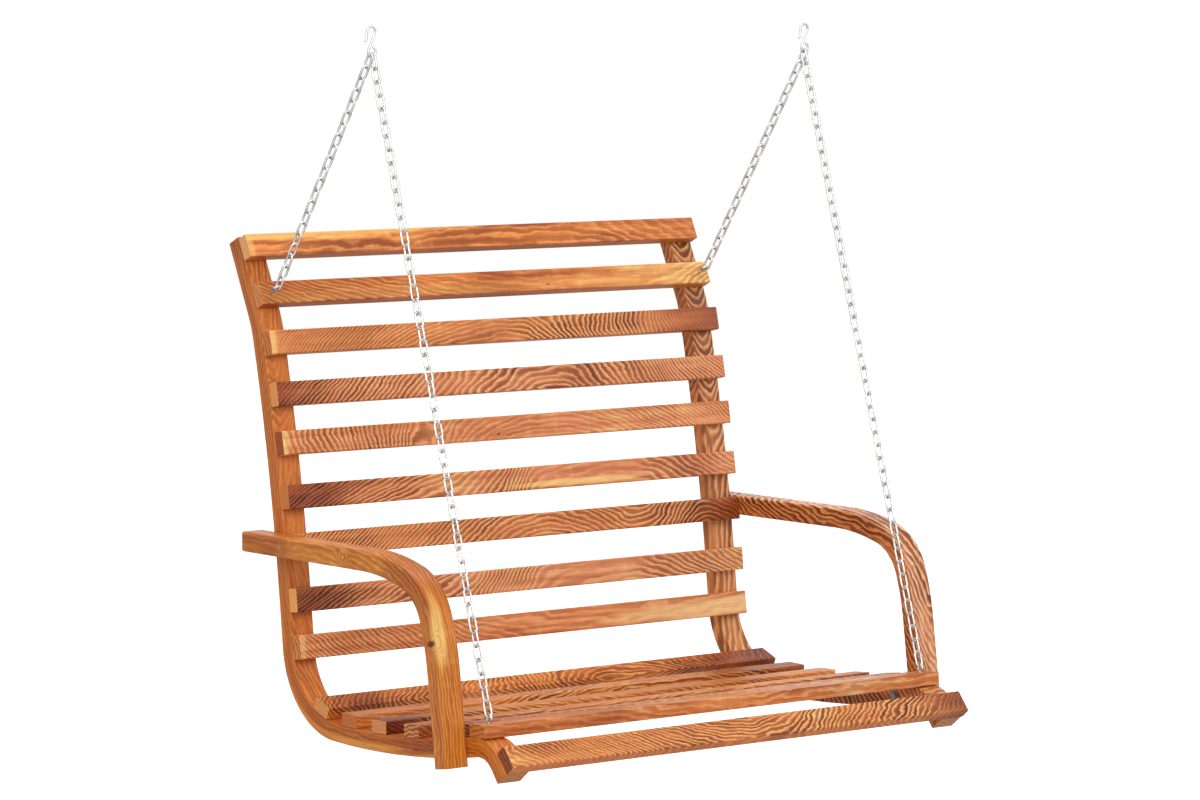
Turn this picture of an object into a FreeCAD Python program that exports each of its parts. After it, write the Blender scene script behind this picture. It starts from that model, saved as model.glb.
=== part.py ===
import FreeCAD, Part
import math
import os

import Sketcher
from FreeCAD import Placement, Rotation, Vector

# Hanging porch swing bench: bent side rails, flat slats, bent armrests, chains and S-hooks.
# X runs along the bench to the right, the front faces -Y, Z is up, millimetres.
# Every piece is first drawn in the bench's own frame, where the armrests are level and the
# top front corner of the side rails is the datum. The chains then fix the hang axis, which
# becomes the origin, and the bench leans back until its centre of mass lies below that axis.

os.makedirs("parts", exist_ok=True)
doc = FreeCAD.newDocument("porch_swing")

driving_sizes = {
    # Slats
    "slat_length": 1050,
    "slat_width": 44,
    "slat_thickness": 24,
    "slat_edge_ease": 2,
    # Side rails, bent from the top of the back to the rolled front of the seat
    "rail_width": 50,
    "rail_thickness": 33,
    "rail_top_tilt": 25.4,
    "rail_top_run": 145,
    "rail_shoulder_radius": 227,
    "rail_shoulder_turn": 12.2,
    "rail_back_radius": 4000,
    "rail_back_turn": 7,
    "rail_lumbar_run": 82.5,
    "rail_corner_radius": 136,
    "rail_corner_turn": 81.1,
    "rail_seat_radius": 1990,
    "rail_seat_turn": 12.3,
    "rail_nose_radius": 77,
    "rail_nose_turn": 61.7,
    "rail_nose_run": 28.3,
    # Where the slats lie along the front of the rail: the first three are measured from its
    # top, and the insets from its nose
    "back_slat_first": 26.2,
    "back_slat_last": 763.8,
    "seat_slat_first": 912.2,
    "front_slat_inset": 103.26,
    "waterfall_slat_inset": 20.2,
    # Armrests, bent from the stub behind the back to the front leg
    "arm_width": 48,
    "arm_thickness": 37,
    "arm_drop": 531,
    "arm_stub_inset": 78.6,
    "arm_top_run": 370,
    "arm_rise_radius": 470,
    "arm_rise_turn": 16.5,
    "arm_elbow_radius": 123.4,
    "arm_elbow_turn": 54.1,
    "arm_knee_radius": 469,
    "arm_knee_turn": 11.6,
    "arm_leg_overlap": 31.2,
    # Chain links
    "link_pitch": 24.65,
    "link_wire": 4,
    "link_outer_width": 17.5,
    "rear_link_count": 21,
    "front_link_count": 48,
    "chain_gap": 0.3,
    # Eye bolts with their washers and nuts
    "eye_wire": 4.4,
    "eye_ring_radius": 6.2,
    "eye_shank": 6,
    "rear_eye_height": 20,
    "front_eye_height": 8.8,
    "eye_tail": 4,
    "eye_washer_outer": 18,
    "washer_thickness": 1.6,
    "eye_nut_flats": 10,
    "eye_nut_height": 5,
    "bolt_clearance": 0.3,
    "thread_clearance": 0.05,
    # S-hooks
    "hook_wire": 4,
    "hook_loop_radius": 8,
    "hook_arch_radius": 8.7,
    "hook_arch_height": 52.7,
    "hook_arch_shift": 3.5,
    "hook_leg_run": 14,
    "hook_tip_run": 5,
    "hook_tip_flare": 40,
    # Wood screws through the rails into the slats
    "slat_screw_shank": 4,
    "slat_screw_head": 8,
    "slat_screw_head_height": 2.4,
    "slat_screw_bite": 18,
    # Coach screws through the rails into the armrests
    "arm_screw_shank": 8,
    "arm_screw_flats": 13,
    "arm_screw_head_height": 5.5,
    "arm_screw_bite": 34,
    "arm_screw_rise": 6,
    "arm_washer_outer": 22,
    # Densities in kilograms per cubic metre
    "wood_density": 600,
    "steel_density": 7850,
}

sheet = doc.addObject("Spreadsheet::Sheet", "sizes")
sheet_rows = []


def enter(alias, content):
    sheet_rows.append(alias)
    row = len(sheet_rows)
    sheet.set(f"A{row}", alias)
    sheet.set(f"B{row}", str(content))
    sheet.setAlias(f"B{row}", alias)


def size(alias):
    return float(getattr(sheet, alias))


for alias, number in driving_sizes.items():
    enter(alias, number)
# The rails' outer faces are flush with the ends of the slats
enter("rail_centre", "=(slat_length - rail_width) / 2")
doc.recompute()


# The slats were spaced by hand, so each lies a few millimetres off the even pitch
back_slat_shifts = [0, 2, -1, 1, -2, 4, 0, 6, 0]
seat_slat_shifts = [0, -3, -6, -3, -7, 0]

# Round steel is drawn with flat sides, because the chains hold so many links
link_sides = 4
wire_sides = 6
shank_sides = 8
ring_sides = 8
hook_sides = 12
hook_loop_count = 9
hook_tip_count = 3

# The steps each way, and their reach in half widths, that find where a flat piece touches a
# curved board
probe_steps = 100
probe_reach = 2

# A bent board is a list of runs along its outer face. Each is a straight length or a bend,
# whose turn is +1 where the heading swings forward and up, and -1 where it swings down.
rail_runs = [
    ("straight", "rail_top_run"),
    ("bend", "rail_shoulder_radius", "rail_shoulder_turn", -1),
    ("bend", "rail_back_radius", "rail_back_turn", -1),
    ("straight", "rail_lumbar_run"),
    ("bend", "rail_corner_radius", "rail_corner_turn", 1),
    ("bend", "rail_seat_radius", "rail_seat_turn", 1),
    ("bend", "rail_nose_radius", "rail_nose_turn", -1),
    ("straight", "rail_nose_run"),
]
arm_runs = [
    ("straight", "arm_top_run"),
    ("bend", "arm_rise_radius", "arm_rise_turn", -1),
    ("bend", "arm_elbow_radius", "arm_elbow_turn", -1),
    ("bend", "arm_knee_radius", "arm_knee_turn", -1),
]


# Directions in the side view, as (y, z) pairs. A heading of 0 degrees points straight down
# and 90 degrees straight forward.
def along(heading):
    return -math.sin(heading), -math.cos(heading)


def outward(heading):
    return -math.cos(heading), math.sin(heading)


def shifted(point, direction, distance):
    return point[0] + direction[0] * distance, point[1] + direction[1] * distance


def lay_out(runs, start, heading):
    # Works out where each run of a bent board starts, ends and has its centre
    laid = []
    travelled = 0
    for run in runs:
        if run[0] == "straight":
            length, turn, centre, radius = size(run[1]), 0, None, None
            end = shifted(start, along(heading), length)
        else:
            radius, turn = size(run[1]), run[3] * math.radians(size(run[2]))
            length = radius * abs(turn)
            centre = shifted(start, outward(heading), radius * run[3])
            end = shifted(centre, outward(heading + turn), -radius * run[3])
        laid.append({"run": run, "start": start, "end": end, "heading": heading, "turn": turn,
                     "length": length, "centre": centre, "radius": radius, "at": travelled})
        start, heading, travelled = end, heading + turn, travelled + length
    return laid


def total_length(laid):
    return laid[-1]["at"] + laid[-1]["length"]


def point_on(laid, station, depth=0):
    # The point at a station along the board, at a depth below its outer face, and the heading
    for part in laid:
        if station <= part["at"] + part["length"] or part is laid[-1]:
            break
    local = station - part["at"]
    if part["centre"] is None:
        heading = part["heading"]
        point = shifted(part["start"], along(heading), local)
    else:
        side = part["run"][3]
        heading = part["heading"] + side * local / part["radius"]
        point = shifted(part["centre"], outward(heading), -part["radius"] * side)
    return shifted(point, outward(heading), -depth), heading


def face_heights(laid, station, base, heading, half, depth=0):
    # How far the board's face at a depth rises above a flat piece at the base, wherever that
    # piece covers it
    normal, length_way = outward(heading), along(heading)
    heights = []
    for step in range(-probe_steps, probe_steps + 1):
        point, _ = point_on(laid, station + probe_reach * half * step / probe_steps, depth)
        gap = (point[0] - base[0], point[1] - base[1])
        if abs(gap[0] * length_way[0] + gap[1] * length_way[1]) <= half:
            heights.append(gap[0] * normal[0] + gap[1] * normal[1])
    return heights


rail_start_heading = math.radians(size("rail_top_tilt"))
rail_path = lay_out(rail_runs, (0, 0), rail_start_heading)
rail_middle = size("rail_thickness") / 2
arm_middle = size("arm_thickness") / 2


def crossing_station(first, last, measure):
    # The station along the rail's centre line where a measure changes sign
    for _ in range(60):
        middle = (first + last) / 2
        same = (measure(middle) > 0) == (measure(first) > 0)
        first, last = (middle, last) if same else (first, middle)
    return first


# The armrest is laid out down to its knee, and its leg then runs on past the seat rail
arm_start = (-size("arm_stub_inset"), -size("arm_drop"))
arm_bends = lay_out(arm_runs, arm_start, math.radians(90))
knee_point, leg_heading = point_on(arm_bends, total_length(arm_bends), arm_middle)


def behind_leg(station):
    point, _ = point_on(rail_path, station, rail_middle)
    normal = outward(leg_heading)
    return (point[0] - knee_point[0]) * normal[0] + (point[1] - knee_point[1]) * normal[1]


seat_crossing = crossing_station(rail_path[5]["at"], total_length(rail_path), behind_leg)
leg_screw_point, _ = point_on(rail_path, seat_crossing, rail_middle)
enter("arm_leg_run", math.dist(knee_point, leg_screw_point) + size("arm_leg_overlap"))
doc.recompute()
arm_runs.append(("straight", "arm_leg_run"))
arm_path = lay_out(arm_runs, arm_start, math.radians(90))


# PartDesign helpers
def origin_plane(body, role):
    return next(feature for feature in body.Origin.OriginFeatures if feature.Role == role)


def new_sketch(body, name, role, offset=None):
    sketch = body.newObject("Sketcher::SketchObject", name)
    sketch.AttachmentSupport = [(origin_plane(body, role), "")]
    sketch.MapMode = "FlatFace"
    if offset is not None:
        sketch.AttachmentOffset = offset
    return sketch


def constrain(sketch, *values, name=None, formula=None):
    index = sketch.addConstraint(Sketcher.Constraint(*values))
    if name:
        sketch.renameConstraint(index, name)
        sketch.setExpression(f"Constraints.{name}", formula)
    return index


def pad_both_ways(body, name, sketch, alias):
    pad = body.newObject("PartDesign::Pad", name)
    pad.Profile = sketch
    pad.SideType = "Symmetric"
    pad.setExpression("Length", f"sizes.{alias}")
    sketch.Visibility = False
    return pad


def pocket_through(body, name, sketch):
    pocket = body.newObject("PartDesign::Pocket", name)
    pocket.Profile = sketch
    pocket.SideType = "Symmetric"
    pocket.Type = "ThroughAll"
    return pocket


# A bent board: its side view is a strip of even thickness whose two long edges share the
# centres of every bend
def add_edge(sketch, part, depth):
    start = shifted(part["start"], outward(part["heading"]), -depth)
    end = shifted(part["end"], outward(part["heading"] + part["turn"]), -depth)
    if part["centre"] is None:
        edge = sketch.addGeometry(Part.LineSegment(Vector(*start, 0), Vector(*end, 0)))
        return edge, 1, 2
    side = part["run"][3]
    centre = Vector(*part["centre"], 0)
    circle = Part.Circle(centre, Vector(0, 0, 1), part["radius"] + depth * side)
    first, last = (end, start) if side > 0 else (start, end)
    angles = [math.atan2(point[1] - centre.y, point[0] - centre.x) for point in (first, last)]
    if angles[1] < angles[0]:
        angles[1] += 2 * math.pi
    edge = sketch.addGeometry(Part.ArcOfCircle(circle, *angles))
    return (edge, 2, 1) if side > 0 else (edge, 1, 2)


def board_sketch(body, name, laid, thickness_alias):
    sketch = new_sketch(body, name, "YZ_Plane")
    thickness = size(thickness_alias)
    outer = [add_edge(sketch, part, 0) for part in laid]
    inner = [add_edge(sketch, part, thickness) for part in laid]
    for number, part in enumerate(laid):
        edge = outer[number][0]
        if part["centre"] is None:
            length_name = part["run"][1]
            constrain(sketch, "Distance", edge, part["length"],
                      name=length_name, formula=f"sizes.{length_name}")
            continue
        radius_name, turn_name = part["run"][1:3]
        constrain(sketch, "Radius", edge, part["radius"],
                  name=radius_name, formula=f"sizes.{radius_name}")
        constrain(sketch, "Angle", edge, abs(part["turn"]),
                  name=turn_name, formula=f"sizes.{turn_name} * 1 deg")
        constrain(sketch, "Coincident", edge, 3, inner[number][0], 3)
    for edges in (outer, inner):
        for before, after in zip(edges, edges[1:]):
            constrain(sketch, "Tangent", before[0], before[2], after[0], after[1])
    for number, part in enumerate(laid):
        if part["centre"] is None:
            constrain(sketch, "Parallel", outer[number][0], inner[number][0])
    ends = []
    for place, pick in ((0, 1), (-1, 2)):
        points = [sketch.getPoint(edges[place][0], edges[place][pick]) for edges in (outer, inner)]
        cap = sketch.addGeometry(Part.LineSegment(*points))
        constrain(sketch, "Coincident", outer[place][0], outer[place][pick], cap, 1)
        constrain(sketch, "Coincident", inner[place][0], inner[place][pick], cap, 2)
        constrain(sketch, "Perpendicular", outer[place][0], cap)
        ends.append(cap)
    constrain(sketch, "Distance", ends[0], thickness,
              name=thickness_alias, formula=f"sizes.{thickness_alias}")
    return sketch, outer[0][0]


# Holes along X through a board, at points of its side view
def cross_hole_sketch(body, name, points, radius, formula, offset=None):
    sketch = new_sketch(body, name, "YZ_Plane", offset)
    for number, point in enumerate(points):
        centre = Vector(*point, 0)
        circle = sketch.addGeometry(Part.Circle(centre, Vector(0, 0, 1), radius))
        constrain(sketch, "Radius", circle, radius, name=f"hole_{number}", formula=formula)
    return sketch


# Where the slats lie
slat_half = size("slat_width") / 2


def slat_seat(station):
    # A slat lies on the chord of the rail's face below it, lifted where the face bulges
    upper, _ = point_on(rail_path, station - slat_half)
    lower, _ = point_on(rail_path, station + slat_half)
    heading = math.atan2(upper[0] - lower[0], upper[1] - lower[1])
    middle = ((upper[0] + lower[0]) / 2, (upper[1] + lower[1]) / 2)
    rise = max(face_heights(rail_path, station, middle, heading, slat_half))
    base = shifted(middle, outward(heading), max(rise, 0))
    return {"station": station, "base": base, "heading": heading}


def flat_seat_behind(seat, half):
    # The distance from a slat's back face to a flat piece laid against the rail's other face
    heights = face_heights(rail_path, seat["station"], seat["base"], seat["heading"], half,
                           size("rail_thickness"))
    return -min(heights)


def space_slats(names, first, last, shifts):
    pitch = (last - first) / (len(names) - 1)
    for number, (name, shift) in enumerate(zip(names, shifts)):
        slat_seats[name] = slat_seat(first + number * pitch + shift)


slat_seats = {}
back_slat_names = [f"back_slat_{number + 1}" for number in range(len(back_slat_shifts))]
space_slats(back_slat_names, size("back_slat_first"), size("back_slat_last"), back_slat_shifts)
seat_slat_names = ["rear_seat_slat", "seat_slat_2", "seat_slat_3", "seat_slat_4", "seat_slat_5",
                   "front_seat_slat"]
rail_nose = total_length(rail_path)
space_slats(seat_slat_names, size("seat_slat_first"), rail_nose - size("front_slat_inset"),
            seat_slat_shifts)
slat_seats["waterfall_slat"] = slat_seat(rail_nose - size("waterfall_slat_inset"))

rear_eye_slat = "back_slat_2"
front_eye_slat = "front_seat_slat"
chain_shift = (size("link_wire") + size("chain_gap")) / 2
rear_chain_x = size("rail_centre") + chain_shift
front_chain_x = size("rail_centre") - chain_shift


def eye_centre(seat, height_alias):
    return shifted(seat["base"], outward(seat["heading"]),
                   size("slat_thickness") + size(height_alias))


# The hang axis lies where the taut front and rear chains meet, in the wire of the hook's loop
eye_reach = size("eye_ring_radius")
rear_eye = eye_centre(slat_seats[rear_eye_slat], "rear_eye_height")
front_eye = eye_centre(slat_seats[front_eye_slat], "front_eye_height")
rear_pull_point = shifted(rear_eye, outward(slat_seats[rear_eye_slat]["heading"]), eye_reach)
chain_loss = (size("hook_wire") + size("eye_wire")) / 2 + size("chain_gap")
rear_chain_length = size("rear_link_count") * size("link_pitch") - chain_loss
front_chain_length = size("front_link_count") * size("link_pitch") - chain_loss


def upper_crossing(first, first_reach, second, second_reach):
    # The upper crossing of two circles in the side view
    span = math.dist(first, second)
    toward = ((second[0] - first[0]) / span, (second[1] - first[1]) / span)
    foot = (span ** 2 + first_reach ** 2 - second_reach ** 2) / (2 * span)
    height = math.sqrt(first_reach ** 2 - foot ** 2)
    across = (toward[1], -toward[0]) if toward[0] < 0 else (-toward[1], toward[0])
    return shifted(shifted(first, toward, foot), across, height)


hang_axis = upper_crossing(rear_pull_point, rear_chain_length,
                           front_eye, front_chain_length + eye_reach)
front_span = math.dist(front_eye, hang_axis)
front_pull_point = shifted(front_eye, ((hang_axis[0] - front_eye[0]) / front_span,
                                       (hang_axis[1] - front_eye[1]) / front_span), eye_reach)

# Every finished piece with its place in the bench's frame and its density
swing_pieces = []
fixed_pieces = []


def finish(piece, label, place, material, moves=True):
    piece.Label = label
    (swing_pieces if moves else fixed_pieces).append((piece, place, size(f"{material}_density")))
    return piece


def side_place(x, point=(0, 0), turn=0):
    return Placement(Vector(x, *point), Rotation(Vector(1, 0, 0), turn))


# The coach screws go where the armrest and its leg cross the rail in the side view
def above_arm_screw(station):
    point, _ = point_on(rail_path, station, rail_middle)
    return point[1] - (arm_start[1] - arm_middle + size("arm_screw_rise"))


back_crossing = crossing_station(0, rail_path[4]["at"], above_arm_screw)
arm_screw_points = [point_on(rail_path, back_crossing, rail_middle)[0], leg_screw_point]


# Side rails
def make_rail(side, label):
    body = doc.addObject("PartDesign::Body", f"{label}_body")
    sketch, first = board_sketch(body, f"{label}_profile", rail_path, "rail_thickness")
    constrain(sketch, "Coincident", first, 1, -1, 1)
    heading = math.pi / 2 + rail_start_heading
    constrain(sketch, "Angle", first, -heading, name="rail_top_tilt",
              formula="-(90 deg + sizes.rail_top_tilt * 1 deg)")
    pad_both_ways(body, f"{label}_blank", sketch, "rail_width")
    radius = size("arm_screw_shank") / 2 + size("bolt_clearance")
    screw_holes = cross_hole_sketch(body, f"{label}_arm_holes", arm_screw_points, radius,
                                    "sizes.arm_screw_shank / 2 + sizes.bolt_clearance")
    pocket_through(body, f"{label}_arm_drilling", screw_holes)
    for name, x in ((rear_eye_slat, rear_chain_x), (front_eye_slat, front_chain_x)):
        seat = slat_seats[name]
        local_x = side * (x - size("rail_centre"))
        drill_square(body, f"{label}_{name}", seat, [local_x])
    finish(body, label, side_place(side * size("rail_centre")), "wood")


def drill_square(body, name, seat, across):
    # Drills for an eye bolt, square to the slat at the seat
    turn = Rotation(Vector(1, 0, 0), -math.degrees(seat["heading"]))
    flat = Rotation(Vector(1, 0, 0), 90)
    base = Vector(0, *seat["base"])
    local = flat.inverted().multVec(base)
    offset = Placement(local, flat.inverted().multiply(turn).multiply(flat))
    sketch = new_sketch(body, f"{name}_eye_hole", "XZ_Plane", offset)
    radius = size("eye_shank") / 2 + size("bolt_clearance")
    for number, x in enumerate(across):
        circle = sketch.addGeometry(Part.Circle(Vector(x, 0, 0), Vector(0, 0, 1), radius))
        constrain(sketch, "Radius", circle, radius, name=f"hole_{number}",
                  formula="sizes.eye_shank / 2 + sizes.bolt_clearance")
    pocket_through(body, f"{name}_eye_drilling", sketch)


make_rail(-1, "left_side_rail")
make_rail(1, "right_side_rail")


# Armrests
def make_arm(side, label):
    body = doc.addObject("PartDesign::Body", f"{label}_body")
    sketch, first = board_sketch(body, f"{label}_profile", arm_path, "arm_thickness")
    constrain(sketch, "DistanceX", first, 1, -1, 1, size("arm_stub_inset"),
              name="arm_stub_inset", formula="sizes.arm_stub_inset")
    constrain(sketch, "DistanceY", first, 1, -1, 1, size("arm_drop"),
              name="arm_drop", formula="sizes.arm_drop")
    constrain(sketch, "Horizontal", first)
    pad_both_ways(body, f"{label}_blank", sketch, "arm_width")
    inner_face = Placement(Vector(0, 0, -side * size("arm_width") / 2), Rotation())
    radius = size("arm_screw_shank") / 2 + size("thread_clearance")
    pilots = cross_hole_sketch(body, f"{label}_pilot_holes", arm_screw_points, radius,
                               "sizes.arm_screw_shank / 2 + sizes.thread_clearance", inner_face)
    doc.recompute()
    solid_volume = body.Shape.Volume
    pocket = body.newObject("PartDesign::Pocket", f"{label}_pilot_drilling")
    pocket.Profile = pilots
    pocket.Reversed = side > 0
    pocket.setExpression("Length", "sizes.arm_screw_bite + sizes.bolt_clearance")
    doc.recompute()
    drilled = 2 * math.pi * radius ** 2 * (size("arm_screw_bite") + size("bolt_clearance"))
    if abs(solid_volume - body.Shape.Volume - drilled) > 0.01 * drilled:
        raise RuntimeError(f"{label}: the pilot holes were not drilled")
    centre = size("rail_centre") + (size("rail_width") + size("arm_width")) / 2
    finish(body, label, side_place(side * centre), "wood")


make_arm(-1, "left_armrest")
make_arm(1, "right_armrest")


# Slats, with the back face on the XZ plane and the front face toward -Y
def make_slat(label, eye_places):
    body = doc.addObject("PartDesign::Body", f"{label}_body")
    sketch = new_sketch(body, f"{label}_profile", "YZ_Plane")
    half, thick = slat_half, size("slat_thickness")
    corners = [Vector(0, -half, 0), Vector(0, half, 0), Vector(-thick, half, 0),
               Vector(-thick, -half, 0)]
    lines = [sketch.addGeometry(Part.LineSegment(corner, corners[(number + 1) % 4]))
             for number, corner in enumerate(corners)]
    for number, line in enumerate(lines):
        constrain(sketch, "Coincident", line, 2, lines[(number + 1) % 4], 1)
        constrain(sketch, "Horizontal" if number % 2 else "Vertical", line)
    constrain(sketch, "Symmetric", lines[0], 1, lines[0], 2, -1, 1)
    constrain(sketch, "Distance", lines[0], size("slat_width"),
              name="slat_width", formula="sizes.slat_width")
    constrain(sketch, "Distance", lines[1], thick,
              name="slat_thickness", formula="sizes.slat_thickness")
    pad = pad_both_ways(body, f"{label}_blank", sketch, "slat_length")
    doc.recompute()
    long_edges = [f"Edge{number}" for number, edge in enumerate(pad.Shape.Edges, start=1)
                  if edge.Length > 0.99 * size("slat_length")]
    eased = body.newObject("PartDesign::Chamfer", f"{label}_eased_edges")
    eased.Base = (pad, long_edges)
    eased.setExpression("Size", "sizes.slat_edge_ease")
    if eye_places:
        holes = new_sketch(body, f"{label}_eye_holes", "XZ_Plane")
        radius = size("eye_shank") / 2 + size("bolt_clearance")
        for number, x in enumerate(eye_places):
            circle = holes.addGeometry(Part.Circle(Vector(x, 0, 0), Vector(0, 0, 1), radius))
            constrain(holes, "Radius", circle, radius, name=f"hole_{number}",
                      formula="sizes.eye_shank / 2 + sizes.bolt_clearance")
        pocket_through(body, f"{label}_drilling", holes)
    seat = slat_seats[label]
    finish(body, label, side_place(0, seat["base"], -math.degrees(seat["heading"])), "wood")


eye_places = {rear_eye_slat: [-rear_chain_x, rear_chain_x],
              front_eye_slat: [-front_chain_x, front_chain_x]}
for label in slat_seats:
    make_slat(label, eye_places.get(label, []))


# Wire with flat sides, bent through corners in the plane of Y and Z and mitred at each, so that
# a long chain stays light
def bent_wire(corners, radius, sides, closed):
    count = len(corners)
    sections = []
    for number, corner in enumerate(corners):
        before = corners[number - 1] if closed or number > 0 else None
        after = corners[(number + 1) % count] if closed or number < count - 1 else None
        normals = []
        for one, other in ((before, corner), (corner, after)):
            if one is not None and other is not None:
                length = math.dist(one, other)
                normals.append(((one[1] - other[1]) / length, (other[0] - one[0]) / length))
        first, last = normals[0], normals[-1]
        spread = 1 + first[0] * last[0] + first[1] * last[1]
        mitre = Vector(0, (first[0] + last[0]) / spread, (first[1] + last[1]) / spread)
        middle = Vector(0, *corner)
        angles = [2 * math.pi * side / sides for side in range(sides)]
        sections.append([middle + (mitre * math.cos(angle) + Vector(math.sin(angle), 0, 0)) * radius
                         for angle in angles])
    faces = []
    for number in range(count if closed else count - 1):
        here, there = sections[number], sections[(number + 1) % count]
        for side in range(sides):
            following = (side + 1) % sides
            loop = [here[side], here[following], there[following], there[side], here[side]]
            faces.append(Part.Face(Part.makePolygon(loop)))
    if not closed:
        for section in (sections[0], sections[-1]):
            faces.append(Part.Face(Part.makePolygon(section + section[:1])))
    solid = Part.makeSolid(Part.makeShell(faces))
    return solid if solid.Volume > 0 else solid.reversed()


def ring_corners(radius, sides):
    # The corners of a ring with flats at its top and bottom, whose flats touch the radius
    step = 2 * math.pi / sides
    reach = radius / math.cos(step / 2)
    return [(reach * math.cos((number + 0.5) * step), reach * math.sin((number + 0.5) * step))
            for number in range(sides)]


# Fasteners are drawn once, with their axis on Z, and placed in groups
def bound(kind, name, formulas, place=None):
    primitive = doc.addObject(kind, name)
    for key, formula in formulas.items():
        primitive.setExpression(key, formula)
    if place is not None:
        primitive.Placement = place
    return primitive


def prism(name, sides, radius_formula, height_formula, place=None):
    # A flat-sided stand-in for a round piece, with its corners on the radius
    piece = bound("Part::Prism", name, {"Circumradius": radius_formula, "Height": height_formula},
                  place)
    piece.Polygon = sides
    return piece


def prism_hole(name, sides, radius_formula, height_formula):
    # A flat-sided hole whose flats clear the radius
    return prism(name, sides, f"({radius_formula}) / cos({180 / sides} deg)", height_formula)


def fused(name, pieces):
    union = doc.addObject("Part::MultiFuse", name)
    union.Shapes = pieces
    return union


def group(label, master, places, material, moves=True):
    doc.recompute()
    copies = []
    for place in places:
        copy = master.Shape.copy()
        copy.Placement = place.multiply(copy.Placement)
        copies.append(copy)
    piece = doc.addObject("Part::Feature", f"{label}_group")
    piece.Shape = Part.makeCompound(copies)
    return finish(piece, label, Placement(), material, moves)


def normal_place(seat, x, distance):
    # Puts a fastener's Z axis on the slat's outward normal, at a distance from its back face
    point = shifted(seat["base"], outward(seat["heading"]), distance)
    turn = Rotation(Vector(1, 0, 0), 90 - math.degrees(seat["heading"]))
    return Placement(Vector(x, *point), turn)


# Eye bolts: the ring's centre is the origin and the shank runs down -Z
def make_eye_bolts(label, seat_name, height_alias, x, quarter_turn):
    seat = slat_seats[seat_name]
    behind = flat_seat_behind(seat, size("eye_washer_outer") / 2)
    stack = behind + size("washer_thickness") + size("eye_nut_height") + size("eye_tail")
    reach = size("slat_thickness") + size(height_alias) + stack
    ring = doc.addObject("Part::Feature", f"{label}_ring")
    ring.Shape = bent_wire(ring_corners(size("eye_ring_radius"), ring_sides), size("eye_wire") / 2,
                           wire_sides, True)
    ring.Placement = Placement(Vector(), Rotation(Vector(0, 0, 1), 90))
    shank = prism(f"{label}_shank", shank_sides, "sizes.eye_shank / 2", "1 mm",
                  Placement(Vector(0, 0, -reach), Rotation()))
    shank.setExpression("Height", f"{reach - size('eye_ring_radius')} mm")
    bolt = fused(f"{label}_bolt", [ring, shank])
    height = size("slat_thickness") + size(height_alias)
    turn = Placement(Vector(), Rotation(Vector(0, 0, 1), quarter_turn))
    places = [normal_place(seat, side * x, height).multiply(turn) for side in (-1, 1)]
    group(label, bolt, places, "steel")
    return [normal_place(seat, side * x, -behind) for side in (-1, 1)]


rear_backs = make_eye_bolts("rear_eye_bolts", rear_eye_slat, "rear_eye_height", rear_chain_x, 0)
front_backs = make_eye_bolts("front_eye_bolts", front_eye_slat, "front_eye_height",
                             front_chain_x, 90)
eye_backs = rear_backs + front_backs


def washer(name, outer_formula, hole_formula):
    disc = prism(f"{name}_disc", shank_sides, outer_formula, "sizes.washer_thickness")
    hole = prism_hole(f"{name}_hole", shank_sides, hole_formula, "sizes.washer_thickness")
    ring = doc.addObject("Part::Cut", f"{name}_ring")
    ring.Base = disc
    ring.Tool = hole
    return ring


def hexagon(name, flats_formula, height_formula):
    return prism(name, 6, f"{flats_formula} / sqrt(3)", height_formula)


eye_washer = washer("eye_washer", "sizes.eye_washer_outer / 2",
                    "sizes.eye_shank / 2 + sizes.bolt_clearance")
down = Placement(Vector(0, 0, -size("washer_thickness")), Rotation())
group("eye_washers", eye_washer, [back.multiply(down) for back in eye_backs], "steel")

nut_blank = hexagon("eye_nut_blank", "sizes.eye_nut_flats", "sizes.eye_nut_height")
nut_bore = prism_hole("eye_nut_bore", shank_sides, "sizes.eye_shank / 2 + sizes.thread_clearance",
                      "sizes.eye_nut_height")
eye_nut = doc.addObject("Part::Cut", "eye_nut")
eye_nut.Base = nut_blank
eye_nut.Tool = nut_bore
below = Placement(Vector(0, 0, -size("washer_thickness") - size("eye_nut_height")), Rotation())
group("eye_nuts", eye_nut, [back.multiply(below) for back in eye_backs], "steel")


# Wood screws into the slats that no eye bolt holds: the head's seat is the origin
def make_slat_screws(label, names):
    head = prism(f"{label}_head", 6, "sizes.slat_screw_head / 2", "sizes.slat_screw_head_height")
    head.setExpression("Placement.Base.z", "-sizes.slat_screw_head_height")
    shank = prism(f"{label}_shank", 6, "sizes.slat_screw_shank / 2",
                  "sizes.rail_thickness + sizes.slat_screw_bite")
    screw = fused(f"{label}_screw", [head, shank])
    places = []
    for name in names:
        seat = slat_seats[name]
        behind = flat_seat_behind(seat, size("slat_screw_head") / 2)
        places += [normal_place(seat, side * size("rail_centre"), -behind) for side in (-1, 1)]
    group(label, screw, places, "steel")


screwed = [name for name in slat_seats if name not in eye_places]
make_slat_screws("back_slat_screws", [name for name in screwed if name.startswith("back")])
make_slat_screws("seat_slat_screws", [name for name in screwed if not name.startswith("back")])

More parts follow.
